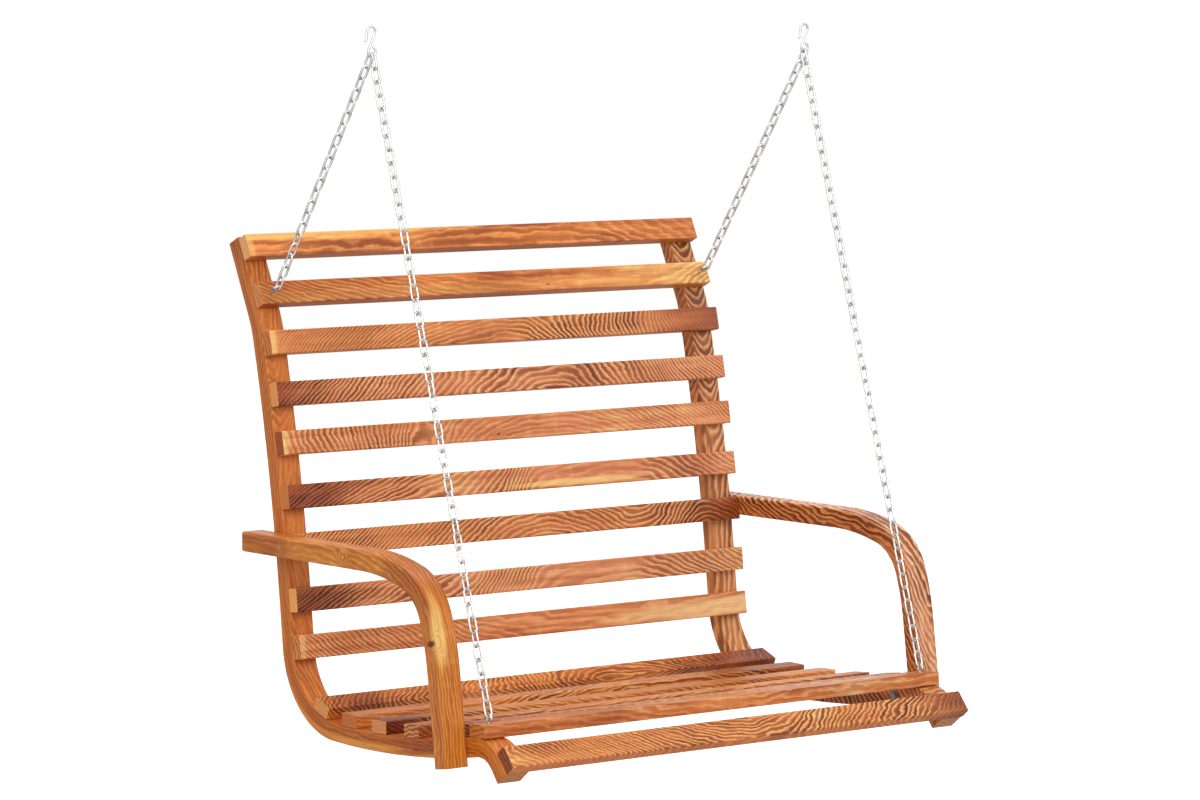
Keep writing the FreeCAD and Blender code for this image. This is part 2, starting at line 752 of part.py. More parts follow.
# Coach screws from the inner face of each rail into the armrest
arm_washer = washer("arm_washer", "sizes.arm_washer_outer / 2",
                    "sizes.arm_screw_shank / 2 + sizes.bolt_clearance")
screw_head = hexagon("arm_screw_head", "sizes.arm_screw_flats", "sizes.arm_screw_head_height")
screw_head.setExpression("Placement.Base.z", "-sizes.arm_screw_head_height")
screw_shank = prism("arm_screw_shank", shank_sides, "sizes.arm_screw_shank / 2",
                    "sizes.washer_thickness + sizes.rail_width + sizes.arm_screw_bite")
arm_screw = fused("arm_screw", [screw_head, screw_shank])
inner_x = size("rail_centre") - size("rail_width") / 2 - size("washer_thickness")
arm_screw_places = [Placement(Vector(side * inner_x, *point), Rotation(Vector(0, 1, 0), side * 90))
                    for side in (-1, 1) for point in arm_screw_points]
group("arm_screws", arm_screw, arm_screw_places, "steel")
group("arm_washers", arm_washer, arm_screw_places, "steel")


# Chain links with eight corners, which lie in the plane of Y and Z along Z
link_inner = size("link_pitch") + size("chain_gap")


def link_corners():
    half_length = (link_inner + size("link_wire")) / 2
    half_width = (size("link_outer_width") - size("link_wire")) / 2
    corner = half_width * math.tan(math.pi / 8)
    points = [(half_width, half_length - half_width + corner), (corner, half_length)]
    points += [(-across, up) for across, up in reversed(points)]
    return points + [(-across, -up) for across, up in points]


link = doc.addObject("Part::Feature", "chain_link")
link.Shape = bent_wire(link_corners(), size("link_wire") / 2, link_sides, True)


def make_chain(label, x, pull_point, count_alias):
    # The first link lies in the side view's plane, and every other one is turned a quarter
    reach = math.dist(hang_axis, pull_point)
    toward = ((pull_point[0] - hang_axis[0]) / reach, (pull_point[1] - hang_axis[1]) / reach)
    lean = Rotation(Vector(0, 0, -1), Vector(0, *toward))
    first = link_inner / 2 - size("hook_wire") / 2 - size("chain_gap")
    places = []
    for number in range(int(size(count_alias))):
        point = shifted(hang_axis, toward, first + number * size("link_pitch"))
        quarter = Rotation(Vector(0, 0, 1), 90 * (number % 2))
        places.append(Placement(Vector(x, *point), lean.multiply(quarter)))
    group(label, link, places, "steel")


for side, word in ((-1, "left"), (1, "right")):
    make_chain(f"{word}_rear_chain", side * rear_chain_x, rear_pull_point, "rear_link_count")
    make_chain(f"{word}_front_chain", side * front_chain_x, front_pull_point, "front_link_count")


# S-hooks: one wire from the closed lower loop up a slanting shank to the open arch
def around(centre, radius, angle):
    return centre[0] + math.cos(angle) * radius, centre[1] + math.sin(angle) * radius


def hook_corners():
    loop_radius, arch_radius = size("hook_loop_radius"), size("hook_arch_radius")
    loop = (0, loop_radius)
    arch = (-size("hook_arch_shift"), size("hook_arch_height") - arch_radius)
    span = math.dist(loop, arch)
    lean = math.asin((loop_radius + arch_radius) / span) - math.asin(size("hook_arch_shift") / span)
    step = 2 * math.pi / hook_sides
    reach = 1 / math.cos(step / 2)
    # The loop runs from its tip clockwise to the shank, and the arch from the shank over the top
    points = [around(loop, loop_radius * reach, step * (hook_tip_count - number - 0.5))
              for number in range(hook_loop_count)]
    points += [around(loop, loop_radius, math.pi - lean), around(arch, arch_radius, -lean)]
    points += [around(arch, arch_radius * reach, step * (number + 0.5))
               for number in range(hook_sides // 2)]
    arch_end = around(arch, arch_radius, math.pi)
    leg_end = (arch_end[0], arch_end[1] - size("hook_leg_run"))
    flare = math.radians(size("hook_tip_flare"))
    tip = shifted(leg_end, (-math.sin(flare), -math.cos(flare)), size("hook_tip_run"))
    return points + [arch_end, leg_end, tip]


hook = doc.addObject("Part::Feature", "s_hook")
hook.Shape = bent_wire(hook_corners(), size("hook_wire") / 2, wire_sides, False)
into_front_view = Rotation(Vector(0, 0, 1), -90)
hook_places = [Placement(Vector(side * size("rail_centre"), 0, 0), into_front_view)
               for side in (-1, 1)]
group("s_hooks", hook, hook_places, "steel", moves=False)

# Lean the bench back until its centre of mass lies below the hang axis
doc.recompute()
to_axis = Placement(Vector(0, -hang_axis[0], -hang_axis[1]), Rotation())
moment, mass = Vector(), 0
for piece, place, density in swing_pieces:
    shape = piece.Shape.copy()
    shape.Placement = place
    weight = shape.Volume * density / 1e9
    moment += to_axis.multVec(shape.CenterOfGravity) * weight
    mass += weight
centre_of_mass = moment * (1 / mass)
hang_angle = math.degrees(math.atan(centre_of_mass.y / centre_of_mass.z))
lean_back = Placement(Vector(), Rotation(Vector(1, 0, 0), hang_angle))
for piece, place, _ in swing_pieces:
    piece.Placement = lean_back.multiply(to_axis).multiply(place)
for piece, place, _ in fixed_pieces:
    piece.Placement = place
doc.recompute()

print("hang axis in the bench's frame", [round(value, 2) for value in hang_axis])
print("chains", round(rear_chain_length, 2), round(front_chain_length, 2))
print("mass", round(mass, 2), "kg, hang angle", round(hang_angle, 3))

# Check every object, then write each piece
for item in doc.Objects:
    if "Invalid" in item.State or "Error" in item.State:
        raise RuntimeError(f"{item.Name} failed: {item.State}")
for piece, _, _ in swing_pieces + fixed_pieces:
    if piece.Shape.isNull() or not piece.Shape.isValid():
        raise RuntimeError(f"{piece.Label} has no valid shape")
    print(piece.Label, len(piece.Shape.Solids), round(piece.Shape.Volume))
    piece.Shape.exportStep(f"parts/{piece.Label}.step")
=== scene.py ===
import math

import bmesh
import bpy
from mathutils import Matrix, Vector


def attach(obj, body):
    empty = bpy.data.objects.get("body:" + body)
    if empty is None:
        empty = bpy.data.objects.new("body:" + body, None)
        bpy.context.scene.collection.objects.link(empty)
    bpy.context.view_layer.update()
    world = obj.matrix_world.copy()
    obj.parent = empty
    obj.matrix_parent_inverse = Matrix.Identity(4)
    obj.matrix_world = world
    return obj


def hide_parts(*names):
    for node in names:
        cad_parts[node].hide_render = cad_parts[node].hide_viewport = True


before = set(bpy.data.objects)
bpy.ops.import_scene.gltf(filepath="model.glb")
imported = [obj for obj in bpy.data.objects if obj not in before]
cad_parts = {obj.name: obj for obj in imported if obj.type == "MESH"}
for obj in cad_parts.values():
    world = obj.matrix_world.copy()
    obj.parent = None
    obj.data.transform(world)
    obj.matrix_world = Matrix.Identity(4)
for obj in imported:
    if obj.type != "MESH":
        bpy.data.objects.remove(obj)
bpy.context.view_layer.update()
print("frame loaded")

# Where the bench hangs: the rail datum below the hang axis, how far the bench leans back, and how
# far from the middle its rails and hooks and the eyes of its chains are
hanging = {"axisY": -0.39083, "axisZ": 0.33346, "lean": -4.311,
           "railX": 0.5, "rearEyeX": 0.50215, "frontEyeX": 0.49785}
leanBack = Matrix.Rotation(math.radians(hanging["lean"]), 4, "X")
benchPlace = leanBack @ Matrix.Translation((0, -hanging["axisY"], -hanging["axisZ"]))


# Small helpers for node trees
def addNode(tree, kind, inputs=None, **settings):
    node = tree.nodes.new(kind)
    for key, value in settings.items():
        setattr(node, key, value)
    for key, value in (inputs or {}).items():
        if isinstance(value, bpy.types.NodeSocket):
            tree.links.new(value, node.inputs[key])
        else:
            node.inputs[key].default_value = value
    return node


def calc(tree, operation, first, second=0.0, third=0.0, clamp=False):
    inputs = {0: first, 1: second, 2: third}
    return addNode(tree, "ShaderNodeMath", inputs, operation=operation, use_clamp=clamp).outputs[0]


def plus(tree, first, second):
    return calc(tree, "ADD", first, second)


def minus(tree, first, second):
    return calc(tree, "SUBTRACT", first, second)


def times(tree, first, second):
    return calc(tree, "MULTIPLY", first, second)


def vectorCalc(tree, operation, first, second):
    inputs = {0: first, 1: second}
    return addNode(tree, "ShaderNodeVectorMath", inputs, operation=operation).outputs[0]


def lengthOf(tree, vector):
    node = addNode(tree, "ShaderNodeVectorMath", {0: vector}, operation="LENGTH")
    return node.outputs["Value"]


def split(tree, vector):
    return addNode(tree, "ShaderNodeSeparateXYZ", {0: vector}).outputs


def ramp(tree, value, low, high, start=0.0, end=1.0):
    inputs = {0: value, 1: low, 2: high, 3: start, 4: end}
    node = addNode(tree, "ShaderNodeMapRange", inputs, interpolation_type="SMOOTHSTEP")
    return node.outputs[0]


def blendColour(tree, amount, first, second, how="MIX"):
    node = addNode(tree, "ShaderNodeMix", data_type="RGBA", blend_type=how)
    for slot, value in ((0, amount), (6, first), (7, second)):
        if isinstance(value, bpy.types.NodeSocket):
            tree.links.new(value, node.inputs[slot])
        else:
            node.inputs[slot].default_value = value
    return node.outputs[2]


def newTree(name, kind, inputs, outputs):
    tree = bpy.data.node_groups.new(name, kind)
    for label, socketKind, value in inputs:
        socket = tree.interface.new_socket(label, in_out="INPUT", socket_type=socketKind)
        if value is not None:
            socket.default_value = value
    for label, socketKind in outputs:
        tree.interface.new_socket(label, in_out="OUTPUT", socket_type=socketKind)
    return tree, addNode(tree, "NodeGroupInput").outputs, addNode(tree, "NodeGroupOutput")


def newGrowth(name, inputs):
    # A geometry tree that takes its host's mesh, some named sizes and a material
    given = [("Geometry", "NodeSocketGeometry", None), *inputs,
             ("Material", "NodeSocketMaterial", None)]
    return newTree(name, "GeometryNodeTree", given, [("Geometry", "NodeSocketGeometry")])


def endGrowth(tree, geometry, given, result):
    painted = addNode(tree, "GeometryNodeSetMaterial",
                      {"Geometry": geometry, "Material": given["Material"]}).outputs[0]
    tree.links.new(painted, result.inputs[0])
    return tree


def shadeSmooth(tree, geometry, sharp):
    # Smooth faces, with a crease along the edges that are sharp
    smooth = addNode(tree, "GeometryNodeSetShadeSmooth",
                     {"Geometry": geometry, "Shade Smooth": True}, domain="FACE").outputs[0]
    return addNode(tree, "GeometryNodeSetShadeSmooth",
                   {"Geometry": smooth, "Selection": sharp, "Shade Smooth": False},
                   domain="EDGE").outputs[0]


def newObject(name, mesh):
    thing = bpy.data.objects.new(name, mesh)
    bpy.context.scene.collection.objects.link(thing)
    return thing


def discard(thing):
    mesh = thing.data
    bpy.data.objects.remove(thing)
    bpy.data.meshes.remove(mesh)


def hostMesh(name, points, edges=True):
    links = [(number, number + 1) for number in range(len(points) - 1)] if edges else []
    mesh = bpy.data.meshes.new(name)
    mesh.from_pydata([tuple(point) for point in points], links, [])
    return newObject(name, mesh)


softEdge = {"angle": 60.0, "segments": 2}


def grow(host, tree, values, bevelWidth=0.0):
    # Runs a tree on its host and keeps the result as a plain mesh of the same name
    name = host.name
    modifier = host.modifiers.new("growth", "NODES")
    modifier.node_group = tree
    for item in tree.interface.items_tree:
        if item.item_type == "SOCKET" and item.in_out == "INPUT" and item.name in values:
            modifier[item.identifier] = values[item.name]
    if bevelWidth:
        softened = host.modifiers.new("softened", "BEVEL")
        softened.limit_method = "ANGLE"
        softened.angle_limit = math.radians(softEdge["angle"])
        softened.width = bevelWidth
        softened.segments = softEdge["segments"]
    graph = bpy.context.evaluated_depsgraph_get()
    mesh = bpy.data.meshes.new_from_object(host.evaluated_get(graph), preserve_all_data_layers=True,
                                           depsgraph=graph)
    discard(host)
    return newObject(name, mesh)


def settle(piece, body, nodes):
    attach(piece, body)
    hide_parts(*nodes)
    return piece


# Camera at the photograph's angle, set out in the level bench's frame and leaned with it
cameraLook = {"azimuth": 38.0, "elevation": 4.945, "lens": 141.98, "sensorWidth": 36,
              "place": (-5.3257, -6.8294, 0.1153), "clipEnd": 100}
azimuth, elevation = math.radians(cameraLook["azimuth"]), math.radians(cameraLook["elevation"])
forward = Vector((math.sin(azimuth) * math.cos(elevation), math.cos(azimuth) * math.cos(elevation),
                  -math.sin(elevation)))
rightWay = Vector((math.cos(azimuth), -math.sin(azimuth), 0))
turned = Matrix((rightWay, rightWay.cross(forward), -forward)).transposed().to_4x4()
cameraData = bpy.data.cameras.new("photoCamera")
cameraData.lens = cameraLook["lens"]
cameraData.sensor_width = cameraLook["sensorWidth"]
cameraData.clip_end = cameraLook["clipEnd"]
cameraObject = bpy.data.objects.new("photoCamera", cameraData)
bpy.context.scene.collection.objects.link(cameraObject)
cameraObject.matrix_world = leanBack @ Matrix.Translation(cameraLook["place"]) @ turned
bpy.context.scene.camera = cameraObject
print("camera placed")


# Noise in the stained softwood: its waves per metre along the board, across it and below its
# face, its detail and its roughness
woodNoise = {
    "broad": ((14, 34, 34), 1.0, 0.5), "close": ((48, 130, 130), 1.5, 0.6),
    "feather": ((40, 1100, 1100), 1.0, 0.5), "patches": ((6, 26, 26), 1.5, 0.5),
    "fibre": ((14, 1000, 1000), 2.0, 0.6), "shimmer": ((42, 16, 16), 2.5, 0.6),
    "streaks": ((2.2, 95, 95), 2.0, 0.55), "mottle": ((8, 30, 30), 2.0, 0.6),
    "ragged": ((9, 70, 70), 2.0, 0.5), "endRings": ((1, 60, 60), 1.5, 0.5),
    "pores": ((700, 700, 700), 1.0, 0.5),
}
# The noise at which a thing starts to show, and the noise at which it shows in full
noiseReach = {"patches": (0.3, 0.58), "shimmer": (0.5, 0.8), "streaks": (0.4, 0.72),
              "mottle": (0.42, 0.72), "fibre": (0.38, 0.74), "pores": (0.45, 0.75)}


def noise(tree, given, name):
    stretch, detail, rough = woodNoise[name]
    place = vectorCalc(tree, "ADD", given["Grain"], given["Shift"])
    place = vectorCalc(tree, "MULTIPLY", place, stretch)
    return addNode(tree, "ShaderNodeTexNoise", {"Vector": place, "Scale": 1.0, "Detail": detail,
                                                "Roughness": rough}).outputs[0]


def noiseShare(tree, given, name, most=1.0, least=0.0):
    return ramp(tree, noise(tree, given, name), *noiseReach[name], least, most)


def centred(tree, socket, reach):
    return times(tree, minus(tree, socket, 0.5), reach)


# Growth rings: noise and knots push them by so many rings, and the dark late wood fills the part
# of each ring between its rise and its fall
ringLook = {
    "broadPush": 3.6, "closePush": 1.2, "featherPush": 0.42,
    "knotStretch": (0.6, 1, 0.3), "knotReach": (0.4, 6.0), "knotPush": 4.0,
    "ringKnotStretch": 0.7, "ringKnotReach": (0.0, 3.0), "ringKnotPush": 2.6,
    "lateRise": (0.2, 0.58), "lateFall": (0.84, 1.0), "stainWidens": 0.24,
    "faintest": 0.68, "variety": 0.4, "patchLeast": 0.38, "sideDepth": (-0.004, -0.001),
}


def knotReaches(tree, given):
    # Distances from the knot, and from a pair of ring knots on both sides of a place, in knot
    # sizes and with the length along the board shortened
    gap = vectorCalc(tree, "SUBTRACT", given["Grain"], given["Knot Place"])
    gap = vectorCalc(tree, "MULTIPLY", gap, ringLook["knotStretch"])
    knot = calc(tree, "DIVIDE", lengthOf(tree, gap), given["Knot Size"])
    station, across, depth = split(tree, given["Grain"])
    place = split(tree, given["Ring Knot Place"])
    along = calc(tree, "ABSOLUTE", minus(tree, station, place[0]))
    along = minus(tree, along, given["Ring Knot Pair"])
    gap = addNode(tree, "ShaderNodeCombineXYZ", {
        0: times(tree, along, ringLook["ringKnotStretch"]), 1: minus(tree, across, place[1]),
        2: minus(tree, depth, place[2])}).outputs[0]
    return knot, calc(tree, "DIVIDE", lengthOf(tree, gap), given["Ring Knot Size"])


def countRings(tree, given, knot, ringKnot):
    # How many growth rings lie between the board's start and each spot
    _, across, depth = split(tree, given["Grain"])
    bowed = times(tree, times(tree, across, across), given["Bow"])
    rings = calc(tree, "MULTIPLY_ADD", across, given["Lines Across"], given["Lines Along"])
    rings = plus(tree, rings, bowed)
    rings = calc(tree, "MULTIPLY_ADD", depth, given["Lines Deep"], rings)
    for name in ("broad", "close"):
        wave = centred(tree, noise(tree, given, name), ringLook[f"{name}Push"])
        rings = plus(tree, rings, times(tree, wave, given["Waves"]))
    feather = noise(tree, given, "feather")
    rings = plus(tree, rings, centred(tree, feather, ringLook["featherPush"]))
    for distance, name in ((knot, "knot"), (ringKnot, "ringKnot")):
        push = ramp(tree, distance, *ringLook[f"{name}Reach"], ringLook[f"{name}Push"], 0.0)
        rings = plus(tree, rings, push)
    return rings


def darkLines(tree, given, rings, inRing):
    # The stain bites into the soft wood, so dark lines widen where there is more of it
    widened = calc(tree, "MULTIPLY_ADD", given["Stain"], ringLook["stainWidens"], inRing)
    line = times(tree, ramp(tree, widened, *ringLook["lateRise"]),
                 ramp(tree, inRing, *ringLook["lateFall"], 1, 0))
    chance = addNode(tree, "ShaderNodeTexWhiteNoise", {1: calc(tree, "FLOOR", rings)},
                     noise_dimensions="1D").outputs[0]
    chance = calc(tree, "MULTIPLY_ADD", chance, ringLook["variety"], ringLook["faintest"])
    patches = noiseShare(tree, given, "patches", least=ringLook["patchLeast"])
    line = calc(tree, "MULTIPLY", times(tree, line, chance),
                times(tree, patches, given["Line Strength"]), clamp=True)
    depth = split(tree, given["Grain"])[2]
    return times(tree, line, ramp(tree, depth, *ringLook["sideDepth"], given["Side Lines"], 1.0))


# The face: the greatest share of each thing, and tints that multiply what is below them
faceLook = {
    "shimmer": 0.35, "mottle": 0.55, "mottleTint": (0.78, 0.66, 0.6, 1),
    "sap": 0.9, "sapReach": (0.15, 0.8), "fresh": 0.5, "freshReach": (0.0, 0.3),
    "paleReach": (0.6, 1.2), "paleLines": 0.4, "paleStart": (0.008, 0.018),
    "paleWander": 0.006, "stainWander": 0.6, "least": 0.02,
    "fibre": 0.42, "fibreTint": (0.6, 0.46, 0.36, 1),
    "knot": 0.92, "knotReach": (0.5, 1.3), "knotColour": (0.07, 0.025, 0.012, 1),
    # The edge tint is partly worn stain and partly a painted highlight along the long edges
    "edgeWearAndHighlight": 0.3, "edgeWearAndHighlightReach": (-0.0032, -0.0006), "edgeWearAndHighlightWander": 0.003,
    "edgeWearAndHighlightTint": (1.12, 1.05, 1.0, 1),
}


def faceColour(tree, given, inRing, line, fibre, ragged, knot):
    station, _, depth = split(tree, given["Grain"])

    # Brown-red streaks along the board, and fibre bundles that shimmer lighter
    streak = times(tree, noiseShare(tree, given, "streaks"), given["Streaks"])
    body = blendColour(tree, streak, given["Early Colour"], given["Streak Colour"])
    shimmer = noiseShare(tree, given, "shimmer", faceLook["shimmer"])
    body = blendColour(tree, shimmer, body, given["Sap Colour"])
    mottle = noiseShare(tree, given, "mottle", faceLook["mottle"])
    body = blendColour(tree, mottle, body, faceLook["mottleTint"], "MULTIPLY")

    # Sapwood, the fresh wood that follows a dark line, and the dark line itself
    sap = plus(tree, given["Sapwood"], ragged)
    sap = ramp(tree, sap, *faceLook["sapReach"], 0.0, faceLook["sap"])
    sap = times(tree, sap, calc(tree, "GREATER_THAN", given["Sapwood"], faceLook["least"]))
    body = blendColour(tree, sap, body, given["Sap Colour"])
    fresh = ramp(tree, inRing, *faceLook["freshReach"], faceLook["fresh"], 0.0)
    body = blendColour(tree, times(tree, fresh, given["Line Strength"]), body,
                       given["Sap Colour"])
    body = blendColour(tree, line, body, given["Late Colour"])

    # One pale place, and a pale start of the board
    gap = vectorCalc(tree, "SUBTRACT", given["Grain"], given["Pale Place"])
    gap = lengthOf(tree, vectorCalc(tree, "DIVIDE", gap, given["Pale Reach"]))
    pale = ramp(tree, plus(tree, gap, ragged), *faceLook["paleReach"], 1.0, 0.0)
    paleBody = blendColour(tree, times(tree, line, faceLook["paleLines"]), given["Sap Colour"],
                           given["Streak Colour"])
    body = blendColour(tree, times(tree, pale, given["Pale"]), body, paleBody)
    start = calc(tree, "MULTIPLY_ADD", ragged, faceLook["paleWander"], station)
    start = ramp(tree, start, *faceLook["paleStart"], given["End Pale"], 0.0)
    body = blendColour(tree, start, body, given["Sap Colour"])

    # Stain, dark fibres and the knot
    stain = plus(tree, given["Stain"], times(tree, ragged, faceLook["stainWander"]))
    stain = times(tree, ramp(tree, stain, 0.0, 1.0),
                  calc(tree, "GREATER_THAN", given["Stain"], faceLook["least"]))
    body = blendColour(tree, stain, body, given["Stain Colour"], "MULTIPLY")
    fibreShare = ramp(tree, fibre, *noiseReach["fibre"], 0.0, faceLook["fibre"])
    body = blendColour(tree, fibreShare, body, faceLook["fibreTint"], "MULTIPLY")
    knotShare = ramp(tree, knot, *faceLook["knotReach"], faceLook["knot"], 0.0)
    body = blendColour(tree, knotShare, body, faceLook["knotColour"])

    # Painted shade: the narrow sides are multiplied by the side colour, so they look darker than the
    # face
    sides = ramp(tree, depth, *ringLook["sideDepth"], 1.0, 0.0)
    return blendColour(tree, sides, body, given["Side Colour"], "MULTIPLY")


def wearAndHighlightEdges(tree, given, body, ragged):
    # Lighter along the long edges: partly stain rubbed thin, partly a painted highlight
    _, across, depth = split(tree, given["Grain"])
    nearSide = minus(tree, calc(tree, "ABSOLUTE", across), given["Half Width"])
    middle = times(tree, given["Thickness"], 0.5)
    nearFace = minus(tree, calc(tree, "ABSOLUTE", plus(tree, depth, middle)), middle)
    nearEdge = plus(tree, plus(tree, nearSide, nearFace),
                    times(tree, ragged, faceLook["edgeWearAndHighlightWander"]))
    edgeWearAndHighlight = ramp(tree, nearEdge, *faceLook["edgeWearAndHighlightReach"], 0.0, faceLook["edgeWearAndHighlight"])
    return blendColour(tree, edgeWearAndHighlight, body, faceLook["edgeWearAndHighlightTint"], "MULTIPLY")


endLook = {"ringsDeep": 125.0, "ringsAcross": 22.0, "push": 1.6, "lateRise": (0.3, 0.65),
           "lateFall": (0.85, 1.0), "pores": 0.35, "reach": (0.0002, 0.0009)}


def endGrain(tree, given, body):
    # End grain shows the rings as stripes across the thickness
    station, across, depth = split(tree, given["Grain"])
    fromEnd = calc(tree, "MINIMUM", station, minus(tree, given["Length"], station))
    endFace = ramp(tree, fromEnd, *endLook["reach"], 1.0, 0.0)
    wave = centred(tree, noise(tree, given, "endRings"), endLook["push"])
    rings = calc(tree, "MULTIPLY_ADD", depth, endLook["ringsDeep"], wave)
    inRing = calc(tree, "FRACT", plus(tree, rings, times(tree, across, endLook["ringsAcross"])))
    line = times(tree, ramp(tree, inRing, *endLook["lateRise"]),
                 ramp(tree, inRing, *endLook["lateFall"], 1, 0))
    endBody = blendColour(tree, times(tree, line, given["End Lines"]), given["End Colour"],
                          given["Late Colour"])
    pores = noiseShare(tree, given, "pores", endLook["pores"])
    endBody = blendColour(tree, pores, endBody, given["Streak Colour"])
    return blendColour(tree, endFace, body, endBody)


# Green and blue are bent about a pivot by a power, and then the lightest green is raised
dyeCurve = {"greenPivot": 0.2, "greenPower": 1.12, "bluePivot": 0.056, "bluePower": 1.75,
            "paleFrom": 0.24, "paleGain": 0.35}


def dye(tree, body):
    # The dye takes blue out of the dark lines, so they turn brown, and the pale wood stays light
    def bend(socket, pivot, power):
        share = calc(tree, "POWER", calc(tree, "DIVIDE", socket, pivot), power)
        return times(tree, share, pivot)

    red, green, blue = addNode(tree, "ShaderNodeSeparateColor", {0: body}).outputs
    green = bend(green, dyeCurve["greenPivot"], dyeCurve["greenPower"])
    blue = bend(blue, dyeCurve["bluePivot"], dyeCurve["bluePower"])
    paler = calc(tree, "MAXIMUM", minus(tree, green, dyeCurve["paleFrom"]), 0.0)
    green = calc(tree, "MULTIPLY_ADD", paler, dyeCurve["paleGain"], green)
    return addNode(tree, "ShaderNodeCombineColor", {0: red, 1: green, 2: blue}).outputs[0]


# How rough the wood is, how far its lines and fibres stand up or lie deep, and how ragged the
# bounds between its colours are
woodSurface = {"roughness": 0.34, "fibreRoughness": 0.18, "lineHeight": -0.7, "fibreGroove": 0.5,
               "raggedReach": 1.1}


def makeWoodTree():
    vector, number, colour = "NodeSocketVector", "NodeSocketFloat", "NodeSocketColor"
    coloured = ("Early", "Late", "Stain", "Sap", "Streak", "Side", "End")
    tree, given, result = newTree("figuredWood", "ShaderNodeTree", [
        ("Grain", vector, None), ("Shift", vector, None), ("Lines Along", number, 0.0),
        ("Lines Across", number, 0.0), ("Bow", number, 0.0), ("Lines Deep", number, 120.0),
        ("Line Strength", number, 0.8), ("Stain", number, 0.0), ("Sapwood", number, 0.0),
        ("Waves", number, 1.3), ("Streaks", number, 0.5), ("Side Lines", number, 1.0),
        ("End Lines", number, 0.5), ("End Pale", number, 0.0),
        *[(f"{name} Colour", colour, (1, 1, 1, 1)) for name in coloured],
        ("Length", number, 1.05), ("Half Width", number, 0.022), ("Thickness", number, 0.024),
        ("Pale", number, 0.0), ("Pale Place", vector, None), ("Pale Reach", vector, (1, 1, 1)),
        ("Knot Place", vector, (-1, 0, 0)), ("Knot Size", number, 0.004),
        ("Ring Knot Place", vector, (-1, 0, 0)), ("Ring Knot Pair", number, 0.0),
        ("Ring Knot Size", number, 0.006),
    ], [("Colour", colour), ("Roughness", number), ("Height", number)])
    knot, ringKnot = knotReaches(tree, given)
    rings = countRings(tree, given, knot, ringKnot)
    inRing = calc(tree, "FRACT", rings)
    line = darkLines(tree, given, rings, inRing)
    fibre = noise(tree, given, "fibre")
    ragged = centred(tree, noise(tree, given, "ragged"), woodSurface["raggedReach"])
    body = faceColour(tree, given, inRing, line, fibre, ragged, knot)
    body = dye(tree, wearAndHighlightEdges(tree, given, endGrain(tree, given, body), ragged))
    roughness = calc(tree, "MULTIPLY_ADD", fibre, woodSurface["fibreRoughness"],
                     woodSurface["roughness"])
    height = minus(tree, times(tree, line, woodSurface["lineHeight"]),
                   times(tree, fibre, woodSurface["fibreGroove"]))
    for label, socket in (("Colour", body), ("Roughness", roughness), ("Height", height)):
        tree.links.new(socket, result.inputs[label])
    return tree


woodTree = makeWoodTree()


def toLinear(colour):
    # Colours are written as they look on screen, from 0 to 255
    shares = [value / 255 for value in colour]
    return [share / 12.92 if share <= 0.04045 else ((share + 0.055) / 1.055) ** 2.4
            for share in shares] + [1.0]


# What boards are like where their own looks below don't say otherwise
woodLook = {
    "Shift": (0, 0, 0), "Lines Deep": 120.0, "Waves": 1.0, "Streaks": 0.5,
    "Early Colour": (236, 144, 74), "Late Colour": (98, 38, 24), "Stain Colour": (190, 160, 164),
    "Sap Colour": (252, 191, 102), "End Colour": (206, 130, 66), "Streak Colour": (190, 98, 50),
    "End Lines": 0.5,
}
woodShine = {"Specular IOR Level": 0.18, "Coat Weight": 0.25, "Coat Roughness": 0.35}
figureScale = {"across": 300.0, "bow": 4000.0, "steps": 24}


def addFigure(tree, grain, wood, keys, length):
    # Keys are (share of length, lines per metre along, lines per metre across, bow, line
    # strength, dark stain, sapwood); two curve nodes carry them along the board
    def at(share, column):
        for first, second in zip(keys, keys[1:]):
            if share <= second[0]:
                part = (share - first[0]) / (second[0] - first[0])
                part = part * part * (3 - 2 * part)
                return first[column] + (second[column] - first[column]) * part
        return keys[-1][column]

    steps = figureScale["steps"]
    phases, finer = [0.0], 20
    for number in range(steps):
        shares = [(number + (step + 0.5) / finer) / steps for step in range(finer)]
        phases.append(phases[-1] + sum(at(share, 1) for share in shares) / finer * length / steps)
    most = max(max(abs(phase) for phase in phases), 1.0)
    columns = [
        [[phase / most for phase in phases],
         [at(number / steps, 2) / figureScale["across"] for number in range(steps + 1)],
         [at(number / steps, 3) / figureScale["bow"] for number in range(steps + 1)]],
        [[at(number / steps, column) for number in range(steps + 1)] for column in (4, 5, 6)],
    ]
    share = calc(tree, "DIVIDE", split(tree, grain)[0], length)
    shares = addNode(tree, "ShaderNodeCombineXYZ", {0: share, 1: share, 2: share}).outputs[0]
    outputs = []
    for group in columns:
        node = addNode(tree, "ShaderNodeVectorCurve", {1: shares})
        for curve, values in zip(node.mapping.curves, group):
            curve.points[0].location = (0.0, values[0])
            curve.points[1].location = (1.0, values[-1])
            for number in range(1, steps):
                curve.points.new(number / steps, values[number])
        node.mapping.update()
        outputs += split(tree, node.outputs[0])[:]
    scales = (most, figureScale["across"], figureScale["bow"], 1.0, 1.0, 1.0)
    labels = ("Lines Along", "Lines Across", "Bow", "Line Strength", "Stain", "Sapwood")
    for label, socket, scale in zip(labels, outputs, scales):
        tree.links.new(times(tree, socket, scale), wood.inputs[label])


